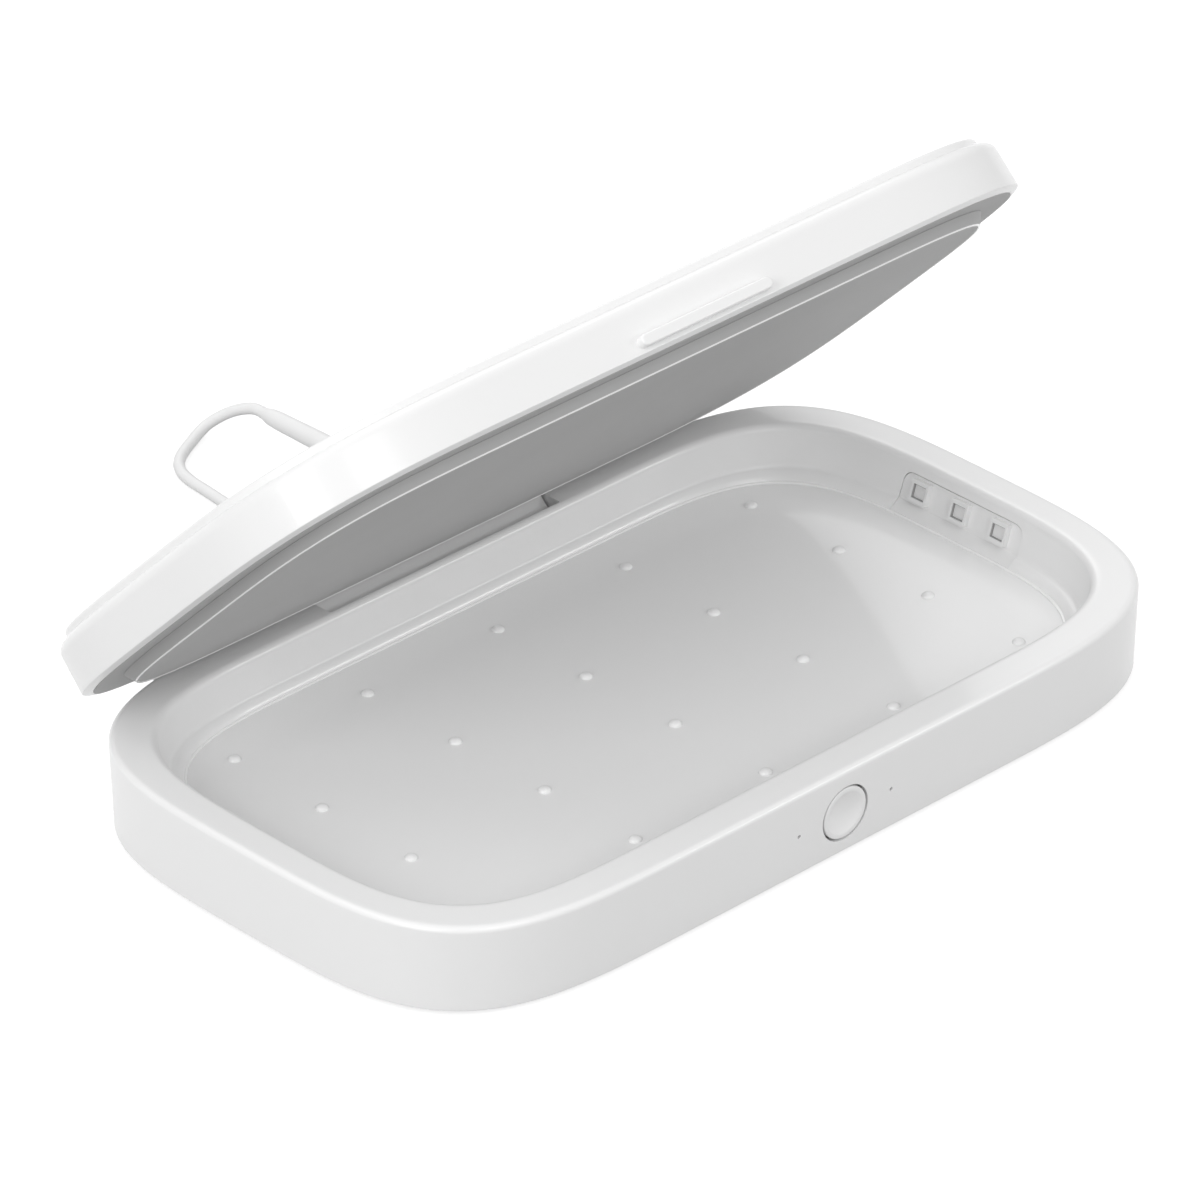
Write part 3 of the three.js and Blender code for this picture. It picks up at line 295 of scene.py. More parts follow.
def makeCamera():
    azimuth = math.radians(cameraView["azimuth"])
    elevation = math.radians(cameraView["elevation"])
    roll = math.radians(cameraView["roll"])
    flat = math.cos(elevation)
    back = Vector((math.sin(azimuth) * flat, -math.cos(azimuth) * flat, math.sin(elevation)))
    right = Vector((math.cos(azimuth), math.sin(azimuth), 0))
    up = back.cross(right)
    across = right * math.cos(roll) - up * math.sin(roll)
    upward = right * math.sin(roll) + up * math.cos(roll)
    turn = Matrix((across, upward, back)).transposed().to_4x4()
    bpy.ops.object.camera_add()
    camera = bpy.context.object
    camera.name = "camera"
    camera.matrix_world = Matrix.Translation(cameraView["place"]) @ turn
    camera.data.lens = cameraView["lens"]
    camera.data.sensor_width = cameraView["sensor"]
    camera.data.clip_end = cameraView["reach"]
    bpy.context.scene.camera = camera


makeCamera()
print("camera made")

# the cable: its plug at the box, sleeve, cord, coil, tie and far plug
cable = {"diameter": 2.4, "smoothing": 6, "sides": 4}
coil = {
    "centre": (3.5, 79.0),
    "radius": 17.0,
    "layers": 4,
    "turnsPerLayer": 2.5,
    "extraTurn": 0.25,
    "climbTurns": 0.25,
    "stepsPerTurn": 48,
    "pitch": 2.85,
    "floor": 2.0,
}
cordFloor = 1.25
backWall = 57.75
coilTop = coil["floor"] + coil["pitch"] * (coil["layers"] - 1)
# y is measured from the back wall
freeRoute = [
    (27.7, 76.25, 5.9),
    (27.5, 78.65, 5.8),
    (26.6, 81.15, 5.1),
    (25.2, 83.25, 4.1),
    (23.4, 84.75, 3.0),
    (20.9, 85.45, 2.0),
    (18.0, 84.85, 1.4),
    (15.1, 83.55, cordFloor),
    (12.3, 82.15, cordFloor),
    (9.6, 80.55, cordFloor),
    (7.2, 78.45, cordFloor),
    (5.4, 75.45, cordFloor),
    (4.5, 71.85, cordFloor),
    (4.1, 67.25, cordFloor),
    (3.6, 61.85, cordFloor),
    (3.2, 56.45, cordFloor),
    (3.6, 51.25, cordFloor),
    (5.8, 46.65, cordFloor),
    (9.8, 43.15, cordFloor),
    (14.1, 39.85, cordFloor),
    (17.6, 35.65, 1.5),
    (19.6, 31.15, 1.8),
    (20.5, 26.45, coil["floor"]),
    (20.5, 24.05, coil["floor"]),
]
tailRoute = [
    (0.7, 3.55, coilTop),
    (-1.8, 3.55, coilTop),
    (-4.6, 3.75, coilTop - 0.1),
    (-8.0, 4.35, coilTop - 1),
    (-11.4, 5.55, 7.7),
    (-14.6, 6.95, 5.6),
    (-18.0, 8.45, 4.4),
    (-20.4, 9.45, 4.1),
    (-22.6, 10.35, 4.1),
]


def coilRoute():
    turns = coil["layers"] * coil["turnsPerLayer"] + coil["extraTurn"]
    steps = round(turns * coil["stepsPerTurn"])
    route = []
    for step in range(steps + 1):
        turn = step / coil["stepsPerTurn"]
        layer = min(int(turn / coil["turnsPerLayer"]), coil["layers"] - 1)
        within = turn - layer * coil["turnsPerLayer"]
        inward = within if layer % 2 == 0 else coil["turnsPerLayer"] - within
        climb = layer
        if layer > 0:
            climb -= max(0, 1 - within / coil["climbTurns"]) / 2
        if layer < coil["layers"] - 1:
            climb += max(0, 1 - (coil["turnsPerLayer"] - within) / coil["climbTurns"]) / 2
        angle = -2 * math.pi * turn
        radius = coil["radius"] - inward * coil["pitch"]
        x = coil["centre"][0] + radius * math.cos(angle)
        y = coil["centre"][1] + radius * math.sin(angle)
        route.append(Vector((x, y, coil["floor"] + climb * coil["pitch"])))
    return route


def smoothRoute(points, steps):
    # a centripetal curve through all the points
    points = [2 * points[0] - points[1], *points, 2 * points[-1] - points[-2]]
    route = []
    for a, b, c, d in zip(points, points[1:], points[2:], points[3:]):
        knots = [0.0]
        for start, end in ((a, b), (b, c), (c, d)):
            knots.append(knots[-1] + math.sqrt((end - start).length))
        k0, k1, k2, k3 = knots
        for step in range(steps):
            k = k1 + (k2 - k1) * step / steps
            ab = a.lerp(b, (k - k0) / (k1 - k0))
            bc = b.lerp(c, (k - k1) / (k2 - k1))
            cd = c.lerp(d, (k - k2) / (k3 - k2))
            abc = ab.lerp(bc, (k - k0) / (k2 - k0))
            bcd = bc.lerp(cd, (k - k1) / (k3 - k1))
            route.append(abc.lerp(bcd, (k - k1) / (k2 - k1)))
    route.append(points[-2])
    return route


def makeCord():
    free = [Vector((x, y + backWall, z)) for x, y, z in freeRoute]
    tail = [Vector((x, y + backWall, z)) for x, y, z in tailRoute]
    whole = smoothRoute(free, cable["smoothing"]) + coilRoute()
    whole += smoothRoute(tail, cable["smoothing"])
    route = [Vector((x, y + middleY, z)) * mm for x, y, z in whole]
    data = bpy.data.curves.new("powerCord", "CURVE")
    data.dimensions = "3D"
    data.bevel_depth = cable["diameter"] / 2 * mm
    data.bevel_resolution = cable["sides"]
    data.use_fill_caps = True
    spline = data.splines.new("POLY")
    spline.points.add(len(route) - 1)
    for point, place in zip(spline.points, route):
        point.co = (*place, 1)
    obj = bpy.data.objects.new("powerCord", data)
    bpy.context.collection.objects.link(obj)
    length = sum((end - start).length for start, end in zip(route, route[1:]))
    return obj, route[0], length


powerCord, cordExit, cordLength = makeCord()
print("cord made, length in metres:", round(cordLength, 3))

boxPlug = {
    "halfWidth": 5.5,
    "height": 6.5,
    "length": 20.0,
    "corner": 2.2,
    "round": 1.0,
    "x": 28.0,
    "z": 6.2,
}
boxPlug["start"] = outer["halfDepth"] + fit - leanAt(boxPlug["z"] + boxPlug["height"] / 2)
alongBack = Matrix.Rotation(-math.pi / 2, 4, "X")


def plugBody(name, plug):
    half, soft, length = plug["height"] / 2, plug["round"], plug["length"]
    margin = 0.2
    outline = roundedOutline(plug["halfWidth"], half, plug["corner"])
    rows = [(inset, soft - rise) for inset, rise in reversed(roundRows(0, soft, 0, soft, 5))]
    rows += [(0.0, soft + margin), (0.0, length - soft - margin)]
    rows += roundRows(0, soft, length - soft, soft, 5)
    scales = [(1 - inset / plug["halfWidth"], 1 - inset / half, z) for inset, z in rows]
    return raiseSkin(name, outline, scales)


def makeBoxPlug():
    obj = plugBody("boxPlug", boxPlug)
    start = Matrix.Translation((boxPlug["x"], boxPlug["start"], boxPlug["z"]))
    return smooth(settle(placeBy(obj, start @ alongBack)))


sleeve = {
    "start": 2.6,
    "end": 1.8,
    "length": 55.5,
    "droop": 0.4,
    "drift": 0.3,
    "bore": 1.1,
    "root": [(0.4, 0.0), (0.1, 0.12), (0.0, 0.4)],
    "rowsAt": (0.1, 0.25, 0.4, 0.55, 0.7, 0.82, 0.92),
    "tip": [(3.2, 0.0), (2.4, 0.05), (1.6, 0.16), (0.9, 0.31), (0.3, 0.47), (0.0, 0.55)],
    "tipRadius": 1.19,
    "overlap": 0.85,
}


def makeSleeve():
    start = Vector((boxPlug["x"], boxPlug["start"] + boxPlug["length"] + fit, boxPlug["z"]))
    end = start + Vector((-sleeve["drift"], sleeve["length"], -sleeve["droop"]))
    length = (end - start).length
    rows = [(sleeve["start"] - inset, z) for inset, z in sleeve["root"]]
    for share in sleeve["rowsAt"]:
        radius = sleeve["start"] + (sleeve["end"] - sleeve["start"]) * share
        rows.append((radius, length * share))
    for back, shrink in sleeve["tip"]:
        rows.append((sleeve["end"] - shrink, length - back))
    # the tip runs a little way onto the cord
    tipEnd = length + sleeve["overlap"]
    rows += [(sleeve["tipRadius"], tipEnd), (sleeve["bore"], tipEnd)]
    obj = turned("cableSleeve", rows, 40)
    turn = Vector((0, 0, 1)).rotation_difference(end - start).to_matrix().to_4x4()
    return smooth(settle(placeBy(obj, Matrix.Translation(start) @ turn)))


farPlug = {
    "halfWidth": 6.5,
    "height": 7.4,
    "length": 18.0,
    "corner": 1.9,
    "round": 0.9,
    "turn": 22,
    "lift": 0.4,
}
farShell = {
    "halfWidth": 6.0,
    "height": 4.5,
    "length": 12.0,
    "wall": 0.35,
    "mouth": 10.0,
    "corner": 0.5,
    "innerCorner": 0.3,
    "bevel": 0.1,
}
latch = {"x": 3.0, "halfWidth": 1.25, "along": (4.5, 7.0)}
tongue = {"margin": 0.6, "start": 1.5, "endGap": 0.8, "level": (-1.7, -0.2), "bevel": 0.15}
contact = {
    "count": 4,
    "spread": 3.5,
    "halfWidth": 0.6,
    "start": 3.0,
    "endGap": 1.6,
    "level": (-0.25, -0.05),
}


def makeFarShell():
    half, inside = farShell["height"] / 2, farShell["wall"]
    outline = roundedOutline(farShell["halfWidth"], half, farShell["corner"])
    shell = raiseSkin("farPlugShell", outline, [(1, 1, 0), (1, 1, farShell["length"])])
    hollow = [(1, 1, farShell["length"] - farShell["mouth"]), (1, 1, farShell["length"] + 1)]
    innerHalf = farShell["halfWidth"] - inside
    inner = roundedOutline(innerHalf, half - inside, farShell["innerCorner"])
    combine(shell, raiseSkin("hollow", inner, hollow))
    for side in (-1, 1):
        middle = side * latch["x"]
        across = (middle - latch["halfWidth"], middle + latch["halfWidth"])
        for face in (-half, half):
            window = blockBetween("window", across, (face - 1, face + 1), latch["along"])
            combine(shell, window)
    return roundEdges(shell, farShell["bevel"])


def makeTongue():
    reach = farShell["halfWidth"] - tongue["margin"]
    along = (tongue["start"], farShell["length"] - tongue["endGap"])
    return blockBetween("plugTongue", (-reach, reach), along, tongue["level"], tongue["bevel"])


def makeContacts():
    along = (contact["start"], farShell["length"] - contact["endGap"])
    contacts = []
    for i in range(contact["count"]):
        at = contact["spread"] * (2 * i / (contact["count"] - 1) - 1)
        across = (at - contact["halfWidth"], at + contact["halfWidth"])
        contacts.append(blockBetween("contact", across, along, contact["level"]))
    return joined("plugContacts", contacts)


def makeFarPlug():
    x, y = tailRoute[-1][:2]
    heading = Matrix.Rotation(math.pi / 2 - math.radians(farPlug["turn"]), 4, "Z")
    lift = farPlug["lift"] + farPlug["height"] / 2
    place = Matrix.Translation((x, y + backWall, lift)) @ heading
    start = place @ Matrix.Translation((0, farPlug["length"] + 2 * fit, 0))
    pieces = [
        (plugBody("farPlugBody", farPlug), place @ Matrix.Translation((0, fit, 0)) @ alongBack),
        (makeFarShell(), start @ alongBack),
        (makeTongue(), start),
        (makeContacts(), start),
    ]
    return [smooth(settle(placeBy(piece, move))) for piece, move in pieces]


tie = {
    "width": 6.0,
    "strap": 0.5,
    "play": 0.6,
    "corner": 1.1,
    "innerCorner": 0.6,
    "bevel": 0.12,
}


def makeTie():
    layerReach = coil["turnsPerLayer"] * coil["pitch"]
    half = cable["diameter"] / 2
    far = coil["radius"] + half + tie["play"]
    near = coil["radius"] - layerReach - half - tie["play"]
    halfWidth = (far - near) / 2 + tie["strap"]
    halfHeight = (coilTop + half + fit + tie["strap"]) / 2
    innerWidth, innerHeight = halfWidth - tie["strap"], halfHeight - tie["strap"]
    outline = roundedOutline(halfWidth, halfHeight, tie["corner"])
    strap = raiseSkin("cordTie", outline, [(1, 1, 0), (1, 1, tie["width"])])
    inner = roundedOutline(innerWidth, innerHeight, tie["innerCorner"])
    combine(strap, raiseSkin("loop", inner, [(1, 1, -1), (1, 1, tie["width"] + 1)]))
    roundEdges(strap, tie["bevel"])
    x, y = coil["centre"]
    place = (x - (far + near) / 2, y - tie["width"] / 2, halfHeight)
    return smooth(settle(placeBy(strap, Matrix.Translation(place) @ alongBack)))


boxPlugBody, cableSleeve, cordTie = makeBoxPlug(), makeSleeve(), makeTie()
farBody, farMetal, farTongue, farContacts = makeFarPlug()
print("cable pieces made")

# the housing with its tray
notch = {
    "halfWidth": 30.0,
    "front": 50.6,
    "back": 64,
    "floor": 11.2,
    "top": 24,
    "soft": 0.3,
    "cheek": 7.5,
    "block": 1.3,
    "blockAlong": (49.75, 56.75),
}
rim = {"outerRound": 1.2, "innerRound": 1.5, "bottomRound": 0.2, "flat": 1.6, "join": -1.9}
nubs = {
    "radius": 1.3,
    "height": 0.8,
    "sunk": 0.05,
    "root": -0.5,
    "spanX": 67.6,
    "spanY": 36.3,
    "countX": 5,
    "countY": 4,
}
pinholes = {"spacing": 12.0, "radius": 0.4}
buttonHole = 5.9
frontDrill = (-3, 2.6)
socketSlot = {
    "x": 28.0,
    "z": 6.2,
    "halfWidth": 4.75,
    "halfHeight": 1.8,
    "corner": 1.79,
    "along": (52, 62),
}
lampCover = {
    "topHalf": 15.9,
    "footHalf": 16.0,
    "topHeight": 7.4,
    "corner": 2.5,
    "thickness": 1.4,
    "lip": 0.15,
    "bevel": 0.09,
    "bezel": 4.4,
    "bezelRoot": 0.7,
    "seatDepth": 0.6,
    "seatHalf": 2.1,
    "windowWidth": 3.3,
    "windowHeight": 2.9,
    "proud": 1.3,
    "pitch": 10.65,
    "gap": 0.12,
}
# the tray's end wall comes down to the crease, and a curved band leads on to the floor
trayTop = (0, 0, lampAt["wallTop"])
trayCrease = (2.3, 0.7, levels["crease"])
trayFoot = (4.95, 2.7, levels["floor"])
trayBand = [(0.34, 0.14), (0.55, 0.3), (0.74, 0.5), (0.88, 0.72), (0.96, 0.9), (1.0, 1.0)]
trayFloor = [(5.2, 2.95), (6.4, 4.15)]
trayUnder = [(-1.5, -1.5, levels["rimUnder"]), (0.8, -0.8, 10.1), (4.05, 1.8, levels["trayUnder"])]


def onWall(rows):
    return [(inset, inset + leanAt(z), z) for inset, z in rows]


def between(start, end, share):
    return tuple(a + (b - a) * share for a, b in zip(start, end))


def softCorner(before, corner, after, reach, steps=4):
    # rows that round a corner of the profile, from reach before it to reach after it
    back = between(corner, before, reach / math.dist(corner, before))
    on = between(corner, after, reach / math.dist(corner, after))
    rows = []
    for step in range(steps + 1):
        share = step / steps
        rows.append(between(between(back, corner, share), between(corner, on, share), share))
    return rows


def makeHousing():
    bottom, top = levels["bottom"], levels["rim"]
    soft, edge, inner = rim["bottomRound"], rim["outerRound"], rim["innerRound"]
    rows = onWall([(wall["thickness"], z) for z in (levels["rimUnder"], bottom)])
    rows += onWall([(soft, bottom)])
    turn = [(x, bottom + soft - z) for x, z in reversed(roundRows(0, soft, 0, soft, 3))]
    rows += onWall(turn[1:] + [(0.0, 1.8), (0.0, levels["rimUnder"])])
    rows += onWall(roundRows(0, edge, top - edge, edge, 7)) + [(rim["flat"], top)]
    outside = skinOn(outer, "housing", rows, False, False)

    rows = [(rim["join"], top), *reversed(roundRows(0, -inner, top - inner, inner, 7))]
    rows += [between(trayTop, trayCrease, 0.08)]
    # the band leaves the wall nearly flat and rolls over to the floor
    band = []
    for out, down in trayBand:
        ends = zip(trayCrease, trayFoot, (out, out, down))
        band.append(tuple(start + (end - start) * share for start, end, share in ends))
    rows += softCorner(trayTop, trayCrease, band[0], 0.7) + band
    rows += [(x, y, levels["floor"] - 0.01) for x, y in trayFloor]
    inside = skinOn(tray, "traySkin", rows, False)
    under = skinOn(tray, "trayUnder", trayUnder, False)
    obj = joined("housing", [outside, inside, under])
    bridgeAt(obj, top)
    bridgeAt(obj, levels["rimUnder"])
    return obj


def makeBead(name, bead, onLid=False):
    # a fine polished bead that follows the tray's outline
    rows = []
    for step in range(bead["sides"] + 1):
        angle = 2 * math.pi * step / bead["sides"]
        out, up = bead["radius"] * math.cos(angle), bead["radius"] * math.sin(angle)
        rows.append((bead["insetX"] + out, bead["insetY"] + out, bead["z"] + up))
    obj = skinOn(tray, name, rows, False, False)
    pick(obj)
    bpy.ops.object.mode_set(mode="EDIT")
    bpy.ops.mesh.select_all(action="SELECT")
    bpy.ops.mesh.remove_doubles(threshold=0.0005)
    bpy.ops.mesh.normals_make_consistent(inside=False)
    bpy.ops.object.mode_set(mode="OBJECT")
    return smooth(settle(obj, onLid))


def makeNubs():
    sunk = nubs["sunk"]
    rows = [(nubs["radius"], nubs["root"])]
    for step in range(7):
        angle = math.pi / 2 * step / 7
        radius = nubs["radius"] * math.cos(angle)
        rows.append((radius, (nubs["height"] + sunk) * math.sin(angle) - sunk))
    dome = turned("nub", rows, 28)
    copies = []
    for i in range(nubs["countX"]):
        for j in range(nubs["countY"]):
            x = nubs["spanX"] * (2 * i / (nubs["countX"] - 1) - 1)
            y = nubs["spanY"] * (2 * j / (nubs["countY"] - 1) - 1)
            copies.append(copyOf(dome, "nubCopy", Matrix.Translation((x, y, levels["floor"]))))
    bpy.data.objects.remove(dome)
    return joined("nubs", copies)


def bentSheet(name, face, back, grow):
    # a sheet along the end wall and the band below it, cut to the cover's outline,
    # its foot left to fit closely
    footGrow = min(grow, 0.02)
    spare = 3
    toWall = endWall.inverted()
    crease = toWall @ Vector((tray["halfLength"] - trayCrease[0], 0, trayCrease[2]))
    footX = tray["halfLength"] - trayFoot[0] + lampCover["lip"]
    foot = toWall @ Vector((footX, 0, trayFoot[2] + lampCover["lip"]))
    top = (levels["floor"] + lampCover["topHeight"] - lampAt["height"]) / math.cos(endTilt)
    band = math.atan2(crease.x - foot.x, crease.z - foot.z)

    def low(depth):
        along = foot.x + depth * math.cos(band) - footGrow * math.sin(band)
        return along, foot.z - depth * math.sin(band) - footGrow * math.cos(band)

    def bend(depth):
        return depth, crease.z - depth * math.tan(band / 2)

    section = [(face, top + spare), bend(face), low(face)]
    section += [low(back), bend(back), (back, top + spare)]
    half = lampCover["footHalf"] + spare
    sheet = raiseSkin(name, section, [(1, 1, -half), (1, 1, half)])
    placeBy(sheet, Matrix.Rotation(math.pi / 2, 4, "X"))
    topHalf, footHalf = lampCover["topHalf"] + grow, lampCover["footHalf"] + grow
    high, corner = top + grow, lampCover["corner"]
    start = Vector((topHalf, high - corner))
    turn = Vector((topHalf, high))
    end = Vector((topHalf - corner, high))
    side = [(footHalf, foot.z - 4), (footHalf, crease.z)]
    for step in range(9):
        share = step / 8
        side.append(tuple(start.lerp(turn, share).lerp(turn.lerp(end, share), share)))
    outline = side + [(-y, z) for y, z in reversed(side)]
    prism = raiseSkin("outline", outline, [(1, 1, -8), (1, 1, 30)])
    placeBy(prism, Matrix(((0, 0, 1, 0), (1, 0, 0, 0), (0, 1, 0, 0), (0, 0, 0, 1))))
    return combine(sheet, prism, "INTERSECT")


def finishHousing(obj):
    combine(obj, makeNubs(), "UNION")
    half, cheek = notch["halfWidth"], notch["halfWidth"] + notch["cheek"]
    inside = (notch["floor"] - notch["block"], levels["rimUnder"] + 1)
    block = blockBetween("hingeBlock", (-cheek, cheek), notch["blockAlong"], inside)
    combine(obj, block, "UNION")
    along, height = (notch["front"], notch["back"]), (notch["floor"], notch["top"])
    combine(obj, blockBetween("notch", (-half, half), along, height, notch["soft"]))
    panelHole = placeBy(bentSheet("panelHole", -3, 3, lampCover["gap"]), endWall)
    combine(obj, copyOf(panelHole, "panelHoleLeft", leftEnd))
    combine(obj, panelHole)
    out, into = frontDrill
    holes = [barBetween("hole", (0, out, 0), (0, into, 0), buttonHole, 72)]
    for side in (-1, 1):
        x = side * pinholes["spacing"]
        holes.append(barBetween("hole", (x, out, 0), (x, into, 0), pinholes["radius"], 24))
    combine(obj, placeBy(joined("frontHoles", holes), frontWall))
    halfWidth, halfHeight = socketSlot["halfWidth"], socketSlot["halfHeight"]
    slot = roundedOutline(halfWidth, halfHeight, socketSlot["corner"])
    slot = raiseSkin("socketSlot", slot, [(1, 1, depth) for depth in socketSlot["along"]])
    place = Matrix.Translation((socketSlot["x"], 0, socketSlot["z"]))
    combine(obj, placeBy(slot, place @ alongBack))
    return smooth(settle(obj))


footBead = {
    "insetX": 4.85,
    "insetY": 2.6,
    "z": levels["floor"] + 0.08,
    "radius": 0.32,
    "sides": 10,
}
housing = finishHousing(makeHousing())
trayBead = makeBead("trayBead", footBead)
print("housing made")

# the bottom cover with its feet and screws
footPad = {
    "radius": 5.0,
    "height": 1.1,
    "bevel": 0.35,
    "x": 66.0,
    "y": 34.0,
    "seat": 0.6,
    "dish": [(0.5, 0.12), (3.65, 0.12), (3.8, 0.0)],
}
coverScrew = {
    "radius": 2.2,
    "height": 1.0,
    "x": 80.0,
    "y": 20.0,
    "seat": 1.3,
    "crown": [(0.75, 0.0), (0.35, 0.07), (0.08, 0.27), (0.0, 0.5)],
    "shank": 1.0,
    "length": 4,
    "slotHalf": 1.25,
    "slotWidth": 0.5,
    "slotDepth": 0.55,
}


def corners(spot):
    return [(sideX * spot["x"], sideY * spot["y"]) for sideX in (-1, 1) for sideY in (-1, 1)]


def makeBottomCover():
    bottom, top = levels["bottom"], levels["coverTop"]
    inset, chamfer = wall["thickness"] + fit, 0.25
    rows = [(inset + 0.6, bottom), (inset + chamfer, bottom)]
    rows += [(inset, bottom + chamfer), (inset, top)]
    obj = skinOn(outer, "bottomCover", onWall(rows))
    seats = []
    for spot, sides in ((footPad, 64), (coverScrew, 40)):
        for x, y in corners(spot):
            high = (x, y, bottom + spot["seat"])
            seats.append(barBetween("seat", (x, y, -2), high, spot["radius"] + fit, sides))
    combine(obj, joined("seats", seats))
    return smooth(settle(obj))


def makeFeet():
    radius, bevel = footPad["radius"], footPad["bevel"]
    rows = footPad["dish"] + [(radius - bevel, 0.0)]
    for angle in (0.4, 0.8, 1.2):
        rows.append((radius - bevel + bevel * math.sin(angle), bevel - bevel * math.cos(angle)))
    rows += [(radius, bevel), (radius, footPad["height"])]
    master = turned("foot", rows, 64)
    feet = []
    for i, (x, y) in enumerate(corners(footPad)):
        feet.append(copyOf(master, f"foot{i}", Matrix.Translation((x, y, 0))))
    bpy.data.objects.remove(master)
    return [smooth(settle(foot)) for foot in feet]


def makeCoverScrews():
    radius, height, shank = coverScrew["radius"], coverScrew["height"], coverScrew["shank"]
    rows = [(0.3, 0.0)] + [(radius - inset, z) for inset, z in coverScrew["crown"]]
    rows += [(radius, height), (shank, height), (shank, height + coverScrew["length"])]
    master = turned("screw", rows, 40)
    long = (-coverScrew["slotHalf"], coverScrew["slotHalf"])
    wide = (-coverScrew["slotWidth"] / 2, coverScrew["slotWidth"] / 2)
    for x, y in ((long, wide), (wide, long)):
        combine(master, blockBetween("slot", x, y, (-1, coverScrew["slotDepth"])))
    screws = []
    for i, (x, y) in enumerate(corners(coverScrew)):
        place = Matrix.Translation((x, y, levels["bottom"]))
        screws.append(copyOf(master, f"coverScrew{i}", place))
    bpy.data.objects.remove(master)
    return [smooth(settle(screw)) for screw in screws]


bottomCover, feet, coverScrews = makeBottomCover(), makeFeet(), makeCoverScrews()
print("bottom made")

# the button, as radii and depths in the wall, and the lamp panels
button = {
    "radius": 5.45,
    "ring": 0.9,
    "dish": 1.05,
    "middle": 0.25,
    "edge": 0.22,
    "collar": [(5.45, 1.9), (5.75, 1.95), (5.75, 2.3)],
    "flange": [(6.55, 2.3), (6.55, 3.1)],
    "stem": [(1.5, 3.1), (1.5, 3.6)],
}


def makeButton():
    radius, edge, middle = button["radius"], button["edge"], button["middle"]
    lip = radius - button["ring"]
    rows = []
    for step in range(13):
        reach = middle + (lip - 0.12 - middle) * step / 12
        rows.append((reach, button["dish"] * (1 - (reach / lip) ** 2)))
    rows += [(lip, 0.01), (lip + 0.08, 0.0), (radius - edge, 0.0)]
    for angle in (0.35, 0.75, 1.15):
        rows.append((radius - edge + edge * math.sin(angle), edge - edge * math.cos(angle)))
    rows += [(radius, edge)] + button["collar"] + button["flange"] + button["stem"]
    obj = turned("pushButton", rows, 72)
    return smooth(settle(placeBy(obj, frontWall @ alongBack)), 50)


def lampPlaces():
    return [(i - 1) * lampCover["pitch"] for i in range(3)]


def makeLampCover():
    obj = bentSheet("lampCoverRight", 0, lampCover["thickness"], 0)
    half, seat = lampCover["bezel"] / 2, lampCover["seatHalf"]
    wide, tall = lampCover["windowWidth"] / 2, lampCover["windowHeight"] / 2
    into, behind = (-lampCover["proud"], lampCover["bezelRoot"]), (lampCover["seatDepth"], 6)
    for y in lampPlaces():
        combine(obj, blockBetween("bezel", into, (y - half, y + half), (-half, half)), "UNION")
    for y in lampPlaces():
        combine(obj, blockBetween("window", (-4, 6), (y - wide, y + wide), (-tall, tall)))
        combine(obj, blockBetween("seat", behind, (y - seat, y + seat), (-seat, seat)))
    roundEdges(obj, lampCover["bevel"], angle=30)
    return obj


# each box holds its span into the wall, and its half width and half height
lampParts = {
    "body": ((0.3, 2.6), 1.8, 1.8),
    "cup": ((-1.16, 1), 1.62, 1.42),
    "well": ((-2, -0.5), 1.52, 1.32),
    "pane": ((-0.66, -0.45), 1.5, 1.3),
    "paneBevel": 0.04,
}


def lampBox(part, name, rounding=0.0):
    into, width, height = lampParts[part]
    return blockBetween(name, into, (-width, width), (-height, height), rounding)


def makeLamp():
    # a ceramic cup whose dark grey paints the shade on the recess walls round the pane, with a
    # frosted pane sunk in it
    body = lampBox("body", "lampBody")
    combine(body, lampBox("cup", "cup"), "UNION")
    combine(body, lampBox("well", "well"))
    return body, lampBox("pane", "lampPane", lampParts["paneBevel"])


pushButton = makeButton()
coverRight = placeBy(makeLampCover(), endWall)
coverLeft = copyOf(coverRight, "lampCoverLeft", leftEnd)
lampCovers = {"right": coverRight, "left": coverLeft}
lamps = {}
for side, turn in (("right", Matrix.Identity(4)), ("left", leftEnd)):
    smooth(settle(lampCovers[side]))
    for i, y in enumerate(lampPlaces()):
        place = turn @ endWall @ Matrix.Translation((0, y, 0))
        lamps[f"uv_led_{side}_{i + 1}"] = pieces = makeLamp()
        for obj in pieces:
            obj.name += f"{side.capitalize()}{i + 1}"
            smooth(settle(placeBy(obj, place)))
print("button and lamps made")

# the lid, drawn closed like the base
grip = {
    "halfLength": 16.5,
    "height": 2.3,
    "proud": 2.0,
    "root": 0.8,
    "z": 21.85,
    "round": 1.1,
    "bevel": 0.4,
}
lidShell = {
    "wall": 1.8,
    "draft": 0.15,
    "inset": 2.17,
    "crown": 2.6,
    "drop": 2.3,
    "roof": [(4.6, -1.8), (3.97, -1.8)],
    "lining": 1.95,
    "chamfer": [(1.4, 0.0), (1.3, 0.03), (0.25, 0.5), (0.05, 0.66), (0.0, 0.9)],
}


